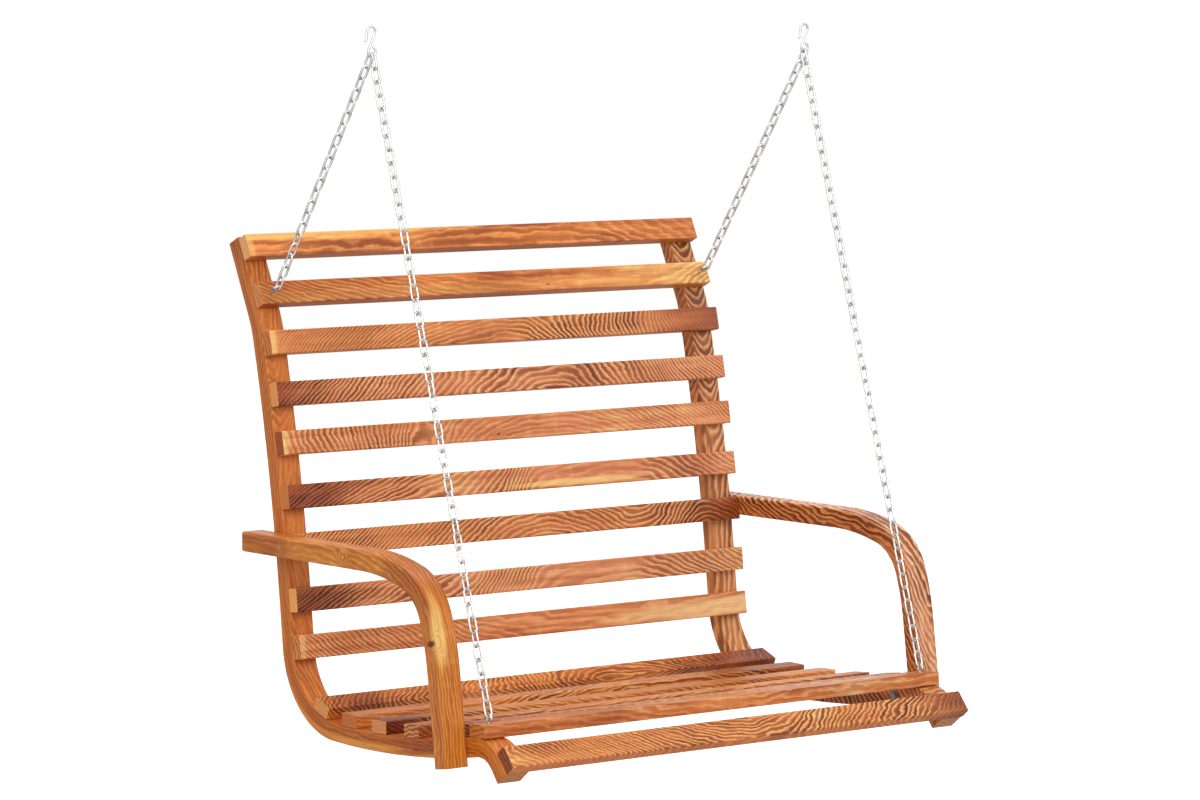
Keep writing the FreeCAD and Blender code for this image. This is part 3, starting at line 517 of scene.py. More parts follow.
def makeWood(name, look):
    settings = dict(woodLook, **look)
    material = bpy.data.materials.new(name)
    material.use_nodes = True
    tree = material.node_tree
    shader = tree.nodes["Principled BSDF"]
    grain = addNode(tree, "ShaderNodeAttribute", attribute_name="grain").outputs["Vector"]
    wood = addNode(tree, "ShaderNodeGroup", {"Grain": grain}, node_tree=woodTree)
    addFigure(tree, grain, wood, settings.pop("Figure"), settings["Length"])
    for key, value in settings.items():
        wood.inputs[key].default_value = toLinear(value) if "Colour" in key else value
    bump = addNode(tree, "ShaderNodeBump", {"Height": wood.outputs["Height"], "Strength": 0.5,
                                            "Distance": 0.0005})
    tree.links.new(wood.outputs["Colour"], shader.inputs["Base Color"])
    tree.links.new(wood.outputs["Roughness"], shader.inputs["Roughness"])
    tree.links.new(bump.outputs[0], shader.inputs["Normal"])
    for key, value in woodShine.items():
        shader.inputs[key].default_value = value
    return material


# A board with rounded edges that follows a path: its outer face lies on the path, and the
# grain attribute holds the distance along it, across it and below its face
boardEdge = {"filletPoints": 4, "foldAngle": 4.5, "capAngle": 60.0, "capBevel": 0.0012}


def makeBoardTree():
    number = "NodeSocketFloat"
    tree, given, result = newGrowth("sweptBoard", [
        ("Width", number, 0.05), ("Thickness", number, 0.03), ("Edge Radius", number, 0.003),
        ("Across", "NodeSocketVector", (1, 0, 0))])

    def store(geometry, name, value, kind):
        return addNode(tree, "GeometryNodeStoreNamedAttribute",
                       {"Geometry": geometry, "Name": name, "Value": value},
                       data_type=kind, domain="POINT").outputs[0]

    def read(name, kind):
        return addNode(tree, "GeometryNodeInputNamedAttribute", {"Name": name},
                       data_type=kind).outputs["Attribute"]

    path = addNode(tree, "GeometryNodeMeshToCurve", {0: given["Geometry"]}).outputs[0]
    lengthAlong = addNode(tree, "GeometryNodeSplineParameter").outputs["Length"]
    path = store(path, "station", lengthAlong, "FLOAT")
    path = addNode(tree, "GeometryNodeSetCurveNormal",
                   {"Curve": path, "Normal": given["Across"]}, mode="FREE").outputs[0]
    section = addNode(tree, "GeometryNodeCurvePrimitiveQuadrilateral",
                      {"Width": given["Width"], "Height": given["Thickness"]}).outputs[0]
    section = addNode(tree, "GeometryNodeFilletCurve",
                      {"Curve": section, "Count": boardEdge["filletPoints"],
                       "Radius": given["Edge Radius"]}, mode="POLY").outputs[0]
    lowered = addNode(tree, "ShaderNodeCombineXYZ",
                      {"Y": times(tree, given["Thickness"], -0.5)}).outputs[0]
    section = addNode(tree, "GeometryNodeTransform",
                      {"Geometry": section, "Translation": lowered}).outputs[0]
    place = addNode(tree, "GeometryNodeInputPosition").outputs[0]
    section = store(section, "section", place, "FLOAT_VECTOR")
    corner = calc(tree, "MODULO", addNode(tree, "GeometryNodeInputIndex").outputs[0],
                  boardEdge["filletPoints"] + 1)
    first = calc(tree, "LESS_THAN", corner, 0.5)
    last = calc(tree, "GREATER_THAN", corner, boardEdge["filletPoints"] - 0.5)
    section = store(section, "fold", plus(tree, first, last), "FLOAT")
    board = addNode(tree, "GeometryNodeCurveToMesh",
                    {"Curve": path, "Profile Curve": section, "Fill Caps": True}).outputs[0]
    local = split(tree, read("section", "FLOAT_VECTOR"))
    grain = addNode(tree, "ShaderNodeCombineXYZ",
                    {"X": read("station", "FLOAT"), "Y": local[0], "Z": local[1]}).outputs[0]
    board = store(board, "grain", grain, "FLOAT_VECTOR")
    angle = addNode(tree, "GeometryNodeInputMeshEdgeAngle").outputs[0]
    foldEdge = times(tree, calc(tree, "GREATER_THAN", read("fold", "FLOAT"), 0.99),
                     calc(tree, "GREATER_THAN", angle, math.radians(boardEdge["foldAngle"])))
    capEdge = calc(tree, "GREATER_THAN", angle, math.radians(boardEdge["capAngle"]))
    sharp = calc(tree, "GREATER_THAN", plus(tree, foldEdge, capEdge), 0.5)
    return endGrowth(tree, shadeSmooth(tree, board, sharp), given, result)


boardTree = makeBoardTree()

# Bent boards, as runs along the outer face: a straight length, or a radius and a turn that is
# positive where the board swings forward and up
railShape = {
    "x": hanging["railX"], "start": (0.0, 0.0), "heading": 25.4,
    "width": 0.050, "thickness": 0.033, "edgeRadius": 0.0028,
    "runs": [(0.145,), (0.227, -12.2), (4.0, -7.0), (0.0825,), (0.136, 81.1), (1.99, 12.3),
             (0.077, -61.7), (0.0283,)],
}
armShape = {
    "x": 0.549, "start": (-0.0786, -0.531), "heading": 90.0,
    "width": 0.048, "thickness": 0.037, "edgeRadius": 0.0045,
    "runs": [(0.370,), (0.470, -16.5), (0.1234, -54.1), (0.469, -11.6), (0.16828,)],
}
bendStep = math.radians(2.2)
straightStep = 0.05


def pathPoints(shape, x):
    # Points along the outer face of a bent board, in the hanging bench's frame
    y, z = shape["start"]
    heading = math.radians(shape["heading"])
    points = [(y, z)]
    for run in shape["runs"]:
        if len(run) == 1:
            steps = max(1, round(run[0] / straightStep))
            for _ in range(steps):
                y -= math.sin(heading) * run[0] / steps
                z -= math.cos(heading) * run[0] / steps
                points.append((y, z))
            continue
        radius, turn = run[0], math.radians(run[1])
        side = math.copysign(1, turn)
        centre = (y - math.cos(heading) * radius * side, z + math.sin(heading) * radius * side)
        steps = max(2, math.ceil(max(abs(turn) / bendStep, radius * abs(turn) / straightStep)))
        for step in range(1, steps + 1):
            now = heading + turn * step / steps
            y = centre[0] + math.cos(now) * radius * side
            z = centre[1] - math.sin(now) * radius * side
            points.append((y, z))
        heading += turn
    return [benchPlace @ Vector((x, *point)) for point in points]


def boardLength(shape):
    return sum(run[0] if len(run) == 1 else run[0] * math.radians(abs(run[1]))
               for run in shape["runs"])


def makeBoard(node, points, across, shape, length, look):
    dimensions = {"Length": length, "Half Width": shape["width"] / 2,
                  "Thickness": shape["thickness"]}
    material = makeWood(f"{node}_wood", {**dimensions, **look})
    piece = grow(hostMesh(f"{node}_board", points), boardTree, {
        "Width": shape["width"], "Thickness": shape["thickness"],
        "Edge Radius": shape["edgeRadius"], "Across": across, "Material": material},
        bevelWidth=boardEdge["capBevel"])
    settle(piece, "bench", [node])


# How each bent board looks, with its shape and its side of the bench. Places and reaches are
# metres along, across and below the face, and addFigure says what the keys of a figure mean
# A board's side colour is painted shade that darkens its narrow sides
bentBoards = {
    "left_side_rail": (railShape, -1, "rail_wood", {
        "Shift": (3.1, 0.4, 0.2), "Lines Deep": 130.0, "Waves": 0.7, "Streaks": 0.6,
        "Early Colour": (226, 132, 58), "Late Colour": (120, 54, 24), "Sap Colour": (250, 165, 82),
        "Side Colour": (255, 252, 238), "Pale": 0.95, "Pale Place": (1.05, -0.03, -0.034),
        "Pale Reach": (0.3, 0.09, 0.016), "Figure": [
            (0, 8, 110, 0, 0.75, 0.35, 0), (0.1, 20, 90, 900, 0.5, 0.2, 0),
            (0.22, 60, 40, 2600, 0.55, 0, 0.1), (0.3, 8, 90, 0, 0.4, 0, 0.2),
            # The sapwood around share 0.42, just below the armrest, is partly sapwood and partly
            # painted light that lifts the armrest's shadow there
            (0.42, -18, 96, 0, 0.4, 0, 0.2), (0.5, -30, 100, 0, 0.42, 0.1, 0.05),
            (0.62, 5, 130, 0, 0.38, 0.35, 0), (0.8, 10, 130, 0, 0.5, 0.45, 0),
            (1, 20, 110, 0, 0.5, 0.2, 0)]}),
    "right_side_rail": (railShape, 1, "rail_wood", {
        "Shift": (7.7, 1.4, 0.6), "Lines Deep": 45.0, "Waves": 0.4, "Early Colour": (248, 166, 96),
        "Late Colour": (80, 30, 20), "Side Colour": (242, 226, 212), "Figure": [
            (0, 45, 0, 2200, 0.88, 0.3, 0), (0.06, 52, 6, 2900, 0.88, 0.3, 0),
            (0.14, 48, -5, 2600, 0.88, 0.45, 0), (0.22, 56, 4, 3000, 0.86, 0, 0.05),
            (0.29, 38, 14, 1600, 0.82, 0, 0.2), (0.34, 10, 62, 500, 0.88, 0.25, 0),
            (0.45, 5, 78, 300, 0.8, 0, 0.15), (0.52, 12, 70, 0, 0.84, 0, 0.1),
            (0.64, 40, 40, 500, 1, 0.3, 0), (0.8, 75, 20, 0, 1, 0.4, 0),
            (1, 75, 20, 0, 0.9, 0.3, 0)]}),
    "left_armrest": (armShape, -1, "arm_wood", {
        "Shift": (11.3, 2.1, 0.9), "Lines Deep": 95.0, "Waves": 0.6, "Streaks": 0.6,
        "Early Colour": (230, 140, 60), "Late Colour": (128, 58, 24), "Pale": 0.7,
        "Pale Place": (0.64, -0.013, 0.0), "Pale Reach": (0.075, 0.013, 0.02),
        "Knot Place": (0.667, -0.0242, -0.013), "Knot Size": 0.0036,
        "Ring Knot Place": (0.234, -0.024, -0.021), "Ring Knot Pair": 0.085,
        "Ring Knot Size": 0.006, "Figure": [
            (0, 6, 60, 0, 0.35, 0.3, 0), (0.13, 5, 64, 0, 0.38, 0.45, 0),
            (0.21, 4.5, 67, 0, 0.4, 0, 0.1), (0.44, 22, 98, 350, 0.55, 0, 0.1),
            (0.56, 22, 120, 300, 0.55, 0.45, 0), (0.65, 5, 134, 0, 0.48, 0.4, 0),
            (0.75, -12, 150, 0, 0.42, 0.1, 0), (1, 4, 150, 0, 0.52, 0.15, 0)]}),
    "right_armrest": (armShape, 1, "arm_wood", {
        "Shift": (15.9, 0.7, 1.9), "Lines Deep": 88.0, "Waves": 0.7,
        # The right armrest's pale early and sap colours are partly its wood and partly a painted
        # sheen on its top
        "Early Colour": (253, 171, 108), "Late Colour": (94, 38, 22),
        "Sap Colour": (255, 204, 124), "Side Colour": (234, 214, 192), "Figure": [
            (0, 62, 52, 0, 1, 0.25, 0), (0.1, 58, 48, 0, 0.95, 0.02, 0),
            (0.27, 38, 40, 0, 0.92, 0, 0), (0.42, 16, 50, 0, 0.88, 0, 0),
            (0.52, 5, 70, 0, 0.88, 0.4, 0), (0.61, -11, 83, 0, 0.86, 0.1, 0),
            (0.78, -34, 92, 0, 0.86, 0.08, 0), (0.9, -52, 88, 0, 0.95, 0.02, 0),
            (1, -60, 88, 0, 1, 0.8, 0)]}),
}
for node, (shape, side, slot, look) in bentBoards.items():
    points = pathPoints(shape, side * shape["x"])
    makeBoard(node, points, (1, 0, 0), shape, boardLength(shape), look)
print("bent boards made")

# Slats lie where their CAD nodes do: each node's end gives its middle and its two directions
slatShape = {"width": 0.044, "thickness": 0.024, "edgeRadius": 0.0022, "length": 1.05, "spans": 12,
             "waterfallEdge": 0.0034}
slatNodes = [f"back_slat_{number}" for number in range(1, 10)]
slatNodes += ["rear_seat_slat", "seat_slat_2", "seat_slat_3", "seat_slat_4", "seat_slat_5",
              "front_seat_slat", "waterfall_slat"]
backLook = {"Waves": 0.5, "Side Lines": 0.4}
# A slat's side colour is painted shade that darkens its narrow sides
slatLooks = {
    "back_slat_1": {
        "Shift": (20.0, 0.3, 0.1), "Streaks": 0.95, "Streak Colour": (190, 107, 62),
        "Sap Colour": (255, 174, 92), "Side Colour": (218, 206, 196), "Pale": 0.95,
        "Pale Place": (0.06, 0.020, 0.0), "Pale Reach": (0.42, 0.013, 0.03),
        "End Colour": (242, 162, 92), "End Lines": 0.15, "End Pale": 0.6, "Figure": [
            (0, 1.9, -60, 0, 0.7, 0, 0), (0.3, 1.6, -57, 0, 0.7, 0, 0),
            (0.42, 1.4, -55, 0, 0.66, 0.4, 0), (0.7, 1, -52, 0, 0.62, 0.15, 0),
            (0.8, -24, -58, 0, 0.6, 0, 0.1), (1, -28.8, -43, 0, 0.3, 0.2, 0.1)]},
    "back_slat_2": {
        "Shift": (22.4, 0.5, 0.2), "Streaks": 0.95, "Streak Colour": (190, 99, 56),
        "Sap Colour": (252, 188, 102), "Side Colour": (218, 206, 196), "Pale": 0.3,
        "Pale Place": (0.3, -0.010, 0.0), "Pale Reach": (0.5, 0.012, 0.03),
        "Knot Place": (0.655, -0.010, 0.0), "Knot Size": 0.002, "End Colour": (228, 145, 77),
        "End Lines": 0.45, "Figure": [
            (0, -51, -112, 0, 0.65, 0.5, 0), (0.3, -25.5, -110, 0, 0.55, 0.3, 0),
            (0.4, -20, -98, 0, 0.5, 0.3, 0), (0.5, -9, -78, 0, 0.42, 0.55, 0),
            (0.62, 0, -59, 0, 0.3, 0.3, 0.1), (0.72, 2, -56, 0, 0.25, 0.12, 0.3),
            (0.85, 5.1, -51, 0, 0.2, 0.12, 0.45), (1, 51, -94, 0, 0.5, 0, 0.6)]},
    "back_slat_3": {
        "Shift": (24.9, 0.9, 0.4), "Early Colour": (237, 147, 81), "Side Colour": (228, 216, 206),
        "End Colour": (223, 132, 67), "End Lines": 0.6, "End Pale": 0.6, "Figure": [
            (0, 120, -144, 0, 0.1, 0, 0.3), (0.06, 120, -150, 0, 0.55, 0.2, 0.1),
            (0.2, 104, -150, 0, 0.7, 0.28, 0), (0.3, 44, -130, 0, 0.5, 0, 0.1),
            (0.47, 16, -110, 0, 0.65, 0.35, 0), (0.57, -48, -94, 300, 0.85, 0.05, 0),
            (0.62, -75, -50, 1600, 1, 0, 0), (0.72, -92, 0, 2300, 1, 0.1, 0),
            (0.84, -96, -9, 1400, 0.95, 0.35, 0), (0.91, -117, -54, 0, 0.65, 0.65, 0),
            (1, -117, -99, 0, 0.45, 0.9, 0)]},
    "back_slat_4": {
        "Shift": (27.3, 1.3, 0.1), "Waves": 0.45, "Early Colour": (238, 149, 91),
        "End Colour": (238, 149, 78), "End Lines": 0.1, "Figure": [
            (0, 93.4, -118, 0, 0.96, 1, 0), (0.07, 90.2, -114, 0, 0.96, 0.45, 0),
            (0.13, 87.1, -109, 0, 0.86, 0.2, 0), (0.2, 83, -101, 0, 0.84, 0, 0.05),
            (0.26, 78.1, -93, 50, 0.86, 0, 0.05), (0.38, 55.1, -56, 648, 0.92, 0, 0),
            (0.5, 40, -68, 432, 0.92, 0, 0.1), (0.6, 8.9, -101, 0, 0.92, 0.14, 0.1),
            (0.66, -48.9, -45, 648, 0.92, 0.4, 0), (0.74, -60, -45, 0, 0.87, 0, 0.1),
            (0.8, -76, -48, 0, 0.87, 0.3, 0), (0.85, -142.3, -68, 0, 0.87, 0.14, 0),
            (0.9, -97.8, -101, 432, 0.78, 0, 0.1), (1, -84.5, -124, 0, 0.64, 0, 0.15)]},
    "back_slat_5": {
        "Shift": (29.6, 0.2, 0.7), "Waves": 0.55, "Early Colour": (238, 150, 90),
        "Knot Place": (0.487, -0.012, 0.0), "Knot Size": 0.0022, "End Colour": (169, 84, 42),
        "End Lines": 0.6, "End Pale": 0.45, "Figure": [
            (0, -70, -35, 480, 0.37, 0, 0.5), (0.05, -76, -32, 720, 0.7, 0, 0.15),
            (0.2, -100, -8.8, 960, 0.84, 0, 0), (0.27, -90, 53, 480, 0.78, 0, 0.1),
            (0.34, 60, -53, 0, 0.5, 0, 0.1), (0.52, 18, -113, 0, 0.41, 0.18, 0),
            (0.62, -12, -106, 0, 0.34, 0, 0.2), (0.75, -50, -114, 0, 0.42, 0, 0.35),
            (0.86, -70, -119, 0, 0.55, 0, 0.15), (1, -95, -123, 0, 0.66, 0.1, 0)]},
    "back_slat_6": {
        "Shift": (31.2, 0.6, 0.5), "Early Colour": (239, 150, 92), "Pale": 0.75,
        "Pale Place": (0.66, -0.013, 0.0), "Pale Reach": (0.16, 0.007, 0.03),
        "End Colour": (212, 128, 63), "End Lines": 0.1, "Figure": [
            (0, 81.2, -140, 0, 0.96, 1, 0), (0.07, 71.2, -140, 0, 0.96, 0.79, 0),
            (0.13, 62, -140, 0, 0.9, 0.42, 0), (0.2, 47, -136, 0, 0.86, 0.08, 0),
            (0.26, 35.2, -113, 0, 0.82, 0, 0.1), (0.32, 23.9, -81, 0, 0.68, 0, 0.4),
            (0.42, 51.3, -65, 0, 0.76, 0, 0.2), (0.5, 111.2, -76, 0, 0.78, 0, 0.3),
            (0.56, 17.1, -65, 0, 0.37, 0, 0), (0.74, 3.4, -65, 0, 0.32, 0, 0.1),
            (0.82, -38.5, -76, 0, 0.74, 0, 0.1), (0.9, -47, -86, 648, 0.78, 0.36, 0),
            (1, -59.9, -97, 0, 0.55, 0, 0.3)]},
    "back_slat_7": {
        "Shift": (33.5, 1.1, 0.3), "Early Colour": (240, 150, 87), "Figure": [
            (0, 100, -125, 0, 0.9, 0.15, 0), (0.15, 98, -125, 0, 0.88, 0.15, 0),
            (0.4, 62, -100, 0, 0.82, 0, 0.15), (0.52, 22, -96, 0, 0.88, 0, 0),
            (0.6, -36, -98, 0, 0.82, 0, 0.1), (0.72, -54, -104, 0, 0.72, 0, 0.25),
            (0.78, 34, -88, 0, 0.85, 0, 0.15), (0.84, 98, -60, 0, 1, 0.1, 0),
            (0.89, 66, -95, 0, 1, 0.35, 0), (0.94, -30, -110, 0, 1, 0.7, 0),
            (1, -80, -100, 0, 1, 1, 0)]},
    "back_slat_8": {
        "Shift": (35.8, 0.8, 0.8), "Early Colour": (245, 160, 98), "Pale": 0.1,
        "Pale Place": (1.0, 0.014, 0.0), "Pale Reach": (0.14, 0.010, 0.03),
        "End Colour": (250, 163, 84), "End Lines": 0.1, "Figure": [
            (0, 77, -130, 0, 0.96, 1, 0), (0.07, 67, -130, 0, 0.96, 0.63, 0),
            (0.13, 58.4, -129, 0, 0.9, 0.4, 0), (0.2, 48.5, -122, 0, 0.88, 0.12, 0),
            (0.26, 39.3, -111, 0, 0.86, 0.1, 0), (0.34, 25.6, -81, 0, 0.72, 0, 0.2),
            (0.42, 111.2, -86, 0, 0.78, 0, 0.15), (0.5, 94, -76, 0, 0.7, 0, 0.15),
            (0.56, 12.8, -54, 0, 0.3, 0, 0.1), (0.72, 3.4, -54, 0, 0.3, 0, 0),
            (0.8, -38.5, -76, 0, 0.68, 0, 0.1), (0.9, -51.3, -97, 648, 0.76, 0.05, 0),
            (1, -59.9, -108, 0, 0.55, 0, 0.4)]},
    "back_slat_9": {
        "Shift": (38.1, 0.1, 0.6), "Streaks": 0.6, "Early Colour": (242, 153, 89),
        "Sap Colour": (255, 186, 108), "Pale": 0.85, "Pale Place": (1.0, -0.004, 0.0),
        "Pale Reach": (0.3, 0.017, 0.03), "End Colour": (241, 144, 67), "End Lines": 0.75,
        "End Pale": 0.5, "Figure": [
            (0, -93.5, -94, 0, 0.7, 0.1, 0.1), (0.15, -76.5, -102, 595, 0.62, 0, 0.1),
            (0.32, -42.5, -110, 0, 0.5, 0, 0.1), (0.42, -20, -80, 0, 0.4, 0, 0.1),
            (0.5, -6.8, -60, 0, 0.35, 0, 0), (0.62, -4, -57, 0, 0.33, 0.12, 0),
            (0.8, 2.5, -51, 0, 0.3, 0, 0.3), (1, 6.8, -60, 0, 0.35, 0, 0.2)]},
    "rear_seat_slat": {
        "Shift": (40.6, 0.4, 0.1), "Waves": 0.7, "Streaks": 0.7, "End Colour": (230, 148, 79),
        "End Lines": 0.15, "Figure": [
            (0, 90, -80, 0, 0.8, 0.3, 0), (0.08, 86, -83, 0, 0.8, 0.75, 0),
            (0.18, 76, -88, 0, 0.8, 0.15, 0), (0.3, 74, -80, 0, 0.8, 0, 0),
            (0.45, 90, -20, 0, 0.9, 0, 0), (0.58, 36, -72, 0, 0.85, 0.3, 0),
            (0.68, -20, -72, 0, 0.88, 0.05, 0), (0.8, -64, -40, 400, 0.95, 0.5, 0),
            (0.9, -70, 0, 1500, 1, 0.95, 0), (1, -70, 20, 600, 1, 0.95, 0)]},
    "seat_slat_2": {
        "Shift": (42.2, 1.0, 0.3), "Waves": 0.8, "End Colour": (200, 115, 57), "End Lines": 0.2,
        "Figure": [
            (0, 20, 90, 0, 0.7, 0.4, 0), (0.4, -40, 90, 0, 0.9, 0, 0),
            (0.72, 8, 95, 0, 0.85, 0, 0.15), (0.86, 40, 98, 0, 0.95, 0.5, 0),
            (1, 60, 100, 0, 0.95, 0.8, 0)]},
    "seat_slat_3": {
        "Shift": (44.7, 0.2, 0.9), "Waves": 0.8, "Stain Colour": (140, 90, 78),
        "End Colour": (221, 141, 77), "End Lines": 0.1, "Figure": [
            # The heavy dark stain at the left end is partly stain and partly painted shade on the
            # slat's front side
            (0, 60, 90, 0, 1, 0.9, 0), (0.1, 52, 90, 0, 0.9, 0.5, 0),
            (0.22, 44, 90, 0, 0.8, 0, 0.05), (0.5, 30, 90, 0, 0.7, 0.15, 0),
            (0.78, 42, 90, 0, 0.65, 0.3, 0), (1, 50, 90, 0, 0.5, 0, 0.3)]},
    "seat_slat_4": {
        "Shift": (46.1, 0.7, 0.2), "Waves": 0.8, "Early Colour": (240, 150, 84),
        "Side Colour": (236, 228, 224), "End Colour": (220, 138, 78), "End Lines": 0.8, "Figure": [
            (0, 60, 90, 0, 0.9, 0.35, 0), (0.3, -5, 90, 0, 0.85, 0.25, 0),
            (0.5, -30, 90, 0, 0.8, 0, 0.1), (0.82, 20, 97, 0, 0.75, 0, 0.3),
            (1, 50, 100, 0, 0.85, 0.5, 0)]},
    "seat_slat_5": {
        "Shift": (48.8, 0.5, 0.6), "Waves": 0.7, "Early Colour": (240, 150, 84),
        "Sap Colour": (255, 212, 136), "Side Colour": (242, 234, 234), "End Colour": (96, 48, 30),
        "Figure": [
            (0, 60, 80, 0, 1, 0.9, 0), (0.12, 44, 80, 0, 1, 0.35, 0),
            (0.36, 34, 83, 0, 1, 0.25, 0), (0.6, 30, 86, 0, 0.95, 0, 0.15),
            (0.86, 22, 89, 0, 0.95, 0, 0.1), (1, 20, 90, 0, 0.95, 0.3, 0)]},
    "front_seat_slat": {
        "Shift": (50.3, 1.2, 0.4), "Lines Deep": 70.0, "Waves": 0.6, "Streaks": 0.75,
        "Side Lines": 0.5, "Early Colour": (239, 148, 80), "Sap Colour": (255, 197, 120),
        "End Colour": (206, 126, 66), "Figure": [
            (0, 4, 90, 0, 0.7, 0.3, 0), (0.12, 8, 86, 0, 0.7, 0.35, 0),
            (0.25, 13, 81, 0, 0.75, 0.6, 0), (0.36, 12, 80, 0, 0.65, 0.25, 0),
            (0.5, 5, 80, 0, 0.65, 0.12, 0), (0.62, -4, 80, 0, 0.68, 0, 0.05),
            (0.78, -3, 80, 0, 0.7, 0, 0.4), (1, 6, 80, 0, 0.75, 0, 0.15)]},
    "waterfall_slat": {
        "Shift": (53.9, 0.3, 0.5), "Lines Deep": 30.0, "Waves": 0.75, "Side Lines": 0.4,
        "Early Colour": (238, 147, 82), "Late Colour": (84, 34, 20),
        "Side Colour": (250, 228, 204), "Stain Colour": (160, 128, 130),
        "End Colour": (150, 82, 44), "End Lines": 0.9, "Figure": [
            (0, -60, -60, 900, 0.75, 0, 0.3), (0.12, -90, -110, 0, 0.85, 0.22, 0.05),
            (0.24, -82, -130, 0, 0.8, 0.05, 0.1), (0.36, -58, -135, 0, 0.8, 0.15, 0),
            (0.45, -30, -135, 0, 0.8, 0.08, 0.1), (0.54, 14, -128, 0, 0.85, 0.15, 0),
            (0.68, 90, -80, 0, 0.85, 0, 0.3), (0.78, 66, -80, 0, 0.95, 0.05, 0),
            (0.86, 66, -83, 0, 1, 0.12, 0), (0.93, 70, -90, 0, 1, 0.45, 0),
            (1, 78, -100, 0, 1, 0.8, 0)]},
}


def slatFrame(node):
    # The middle of the slat's front face, its outward normal and the way across it
    corners = [vertex.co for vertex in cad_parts[node].data.vertices]
    farEnd = max(corner.x for corner in corners)
    sameEnd, finer, upAndForward = 1e-5, 50, Vector((0, -1, 0.6))
    ends = [corner for corner in corners if abs(corner.x - farEnd) < sameEnd]
    low = Vector((0, min(corner.y for corner in ends), min(corner.z for corner in ends)))
    high = Vector((0, max(corner.y for corner in ends), max(corner.z for corner in ends)))
    middle = (low + high) / 2

    def thickness(degrees):
        way = Vector((0, math.cos(math.radians(degrees)), math.sin(math.radians(degrees))))
        reaches = [way.dot(corner) for corner in ends]
        return max(reaches) - min(reaches)

    rough = min(range(180), key=thickness)
    degrees = min((rough + step / finer for step in range(-finer, finer + 1)), key=thickness)
    way = Vector((0, math.cos(math.radians(degrees)), math.sin(math.radians(degrees))))
    normal = way if way.dot(upAndForward) > 0 else -way
    across = normal.cross(Vector((1, 0, 0)))
    return middle + normal * slatShape["thickness"] / 2, normal, across


slatFrames = {node: slatFrame(node) for node in slatNodes}
for node in slatNodes:
    face, normal, across = slatFrames[node]
    length, spans = slatShape["length"], slatShape["spans"]
    points = [face + Vector((number * length / spans - length / 2, 0, 0))
              for number in range(spans + 1)]
    edge = slatShape["waterfallEdge" if node == "waterfall_slat" else "edgeRadius"]
    shared = backLook if node.startswith("back") else {}
    makeBoard(node, points, tuple(across), dict(slatShape, edgeRadius=edge), length,
              {**shared, **slatLooks[node]})
print("slats made")


# Bright zinc, brushed by handling
zincSurface = {"cloudReach": (0.35, 0.7), "gritReach": (0.3, 0.7), "bump": 0.25,
               "bumpDistance": 0.0001, "paintedRimBlend": 0.5}


def makeZinc(name, look):
    material = bpy.data.materials.new(name)
    material.use_nodes = True
    tree = material.node_tree
    shader = tree.nodes["Principled BSDF"]
    place = addNode(tree, "ShaderNodeTexCoord").outputs["Object"]
    cloud = addNode(tree, "ShaderNodeTexNoise", {"Vector": place, "Scale": look["cloudScale"],
                                                 "Detail": 3.0}).outputs[0]
    grit = addNode(tree, "ShaderNodeTexNoise", {"Vector": place, "Scale": look["gritScale"],
                                                "Detail": 2.0}).outputs[0]
    bright, dull = toLinear(look["bright"]), toLinear(look["dull"])
    colour = blendColour(tree, ramp(tree, cloud, *zincSurface["cloudReach"]), bright, dull)
    tree.links.new(colour, shader.inputs["Base Color"])
    low, high = look["roughness"]
    roughness = ramp(tree, grit, *zincSurface["gritReach"], low, high)
    tree.links.new(roughness, shader.inputs["Roughness"])
    bump = addNode(tree, "ShaderNodeBump", {"Height": grit, "Strength": zincSurface["bump"],
                                            "Distance": zincSurface["bumpDistance"]})
    tree.links.new(bump.outputs[0], shader.inputs["Normal"])
    shader.inputs["Metallic"].default_value = look["metallic"]
    # Painted dark reflection: a dark diffuse colour is mixed in where the round wire turns away from
    # view, standing in for zinc that reflects a dark room
    facing = addNode(tree, "ShaderNodeLayerWeight",
                     {"Blend": zincSurface["paintedRimBlend"]}).outputs["Facing"]
    paintedDarkRim = addNode(tree, "ShaderNodeBsdfDiffuse", {"Color": toLinear(look["paintedDarkRim"])}).outputs[0]
    mixed = addNode(tree, "ShaderNodeMixShader",
                    {0: ramp(tree, facing, *look["paintedRimReach"], 0.0, look["paintedRimShare"]),
                     1: shader.outputs[0], 2: paintedDarkRim})
    tree.links.new(mixed.outputs[0], tree.nodes["Material Output"].inputs["Surface"])
    return material


# Each look's dark rim colour is a painted dark reflection at the wire's edges
zincLooks = {
    "chainZinc": {"bright": (246, 244, 240), "dull": (222, 220, 216), "roughness": (0.22, 0.36),
                  "metallic": 0.45, "cloudScale": 60.0, "gritScale": 900.0,
                  "paintedDarkRim": (84, 82, 82), "paintedRimShare": 1.0, "paintedRimReach": (0.3, 0.66)},
    "hookZinc": {"bright": (236, 236, 233), "dull": (206, 206, 203), "roughness": (0.2, 0.32),
                 "metallic": 0.65, "cloudScale": 50.0, "gritScale": 900.0,
                 "paintedDarkRim": (92, 92, 92), "paintedRimShare": 0.9, "paintedRimReach": (0.22, 0.62)},
    # screwZinc is partly dull zinc and partly painted shade: it was darkened so the nuts in shade
    # under the seat show no bright spot
    "screwZinc": {"bright": (160, 154, 144), "dull": (118, 110, 100), "roughness": (0.34, 0.5),
                  "metallic": 0.85, "cloudScale": 80.0, "gritScale": 1100.0,
                  "paintedDarkRim": (120, 119, 116), "paintedRimShare": 0.5, "paintedRimReach": (0.08, 0.5)},
}
zinc = {name: makeZinc(name, look) for name, look in zincLooks.items()}

# Chain links set out along a straight run, every other one turned a quarter
linkShape = {"pitch": 0.02465, "inner": 0.02495, "wire": 0.004, "outerWidth": 0.0175,
             "hookWire": 0.004, "gap": 0.0003, "bendShare": 0.499, "bendPoints": 6,
             "wireSides": 8}


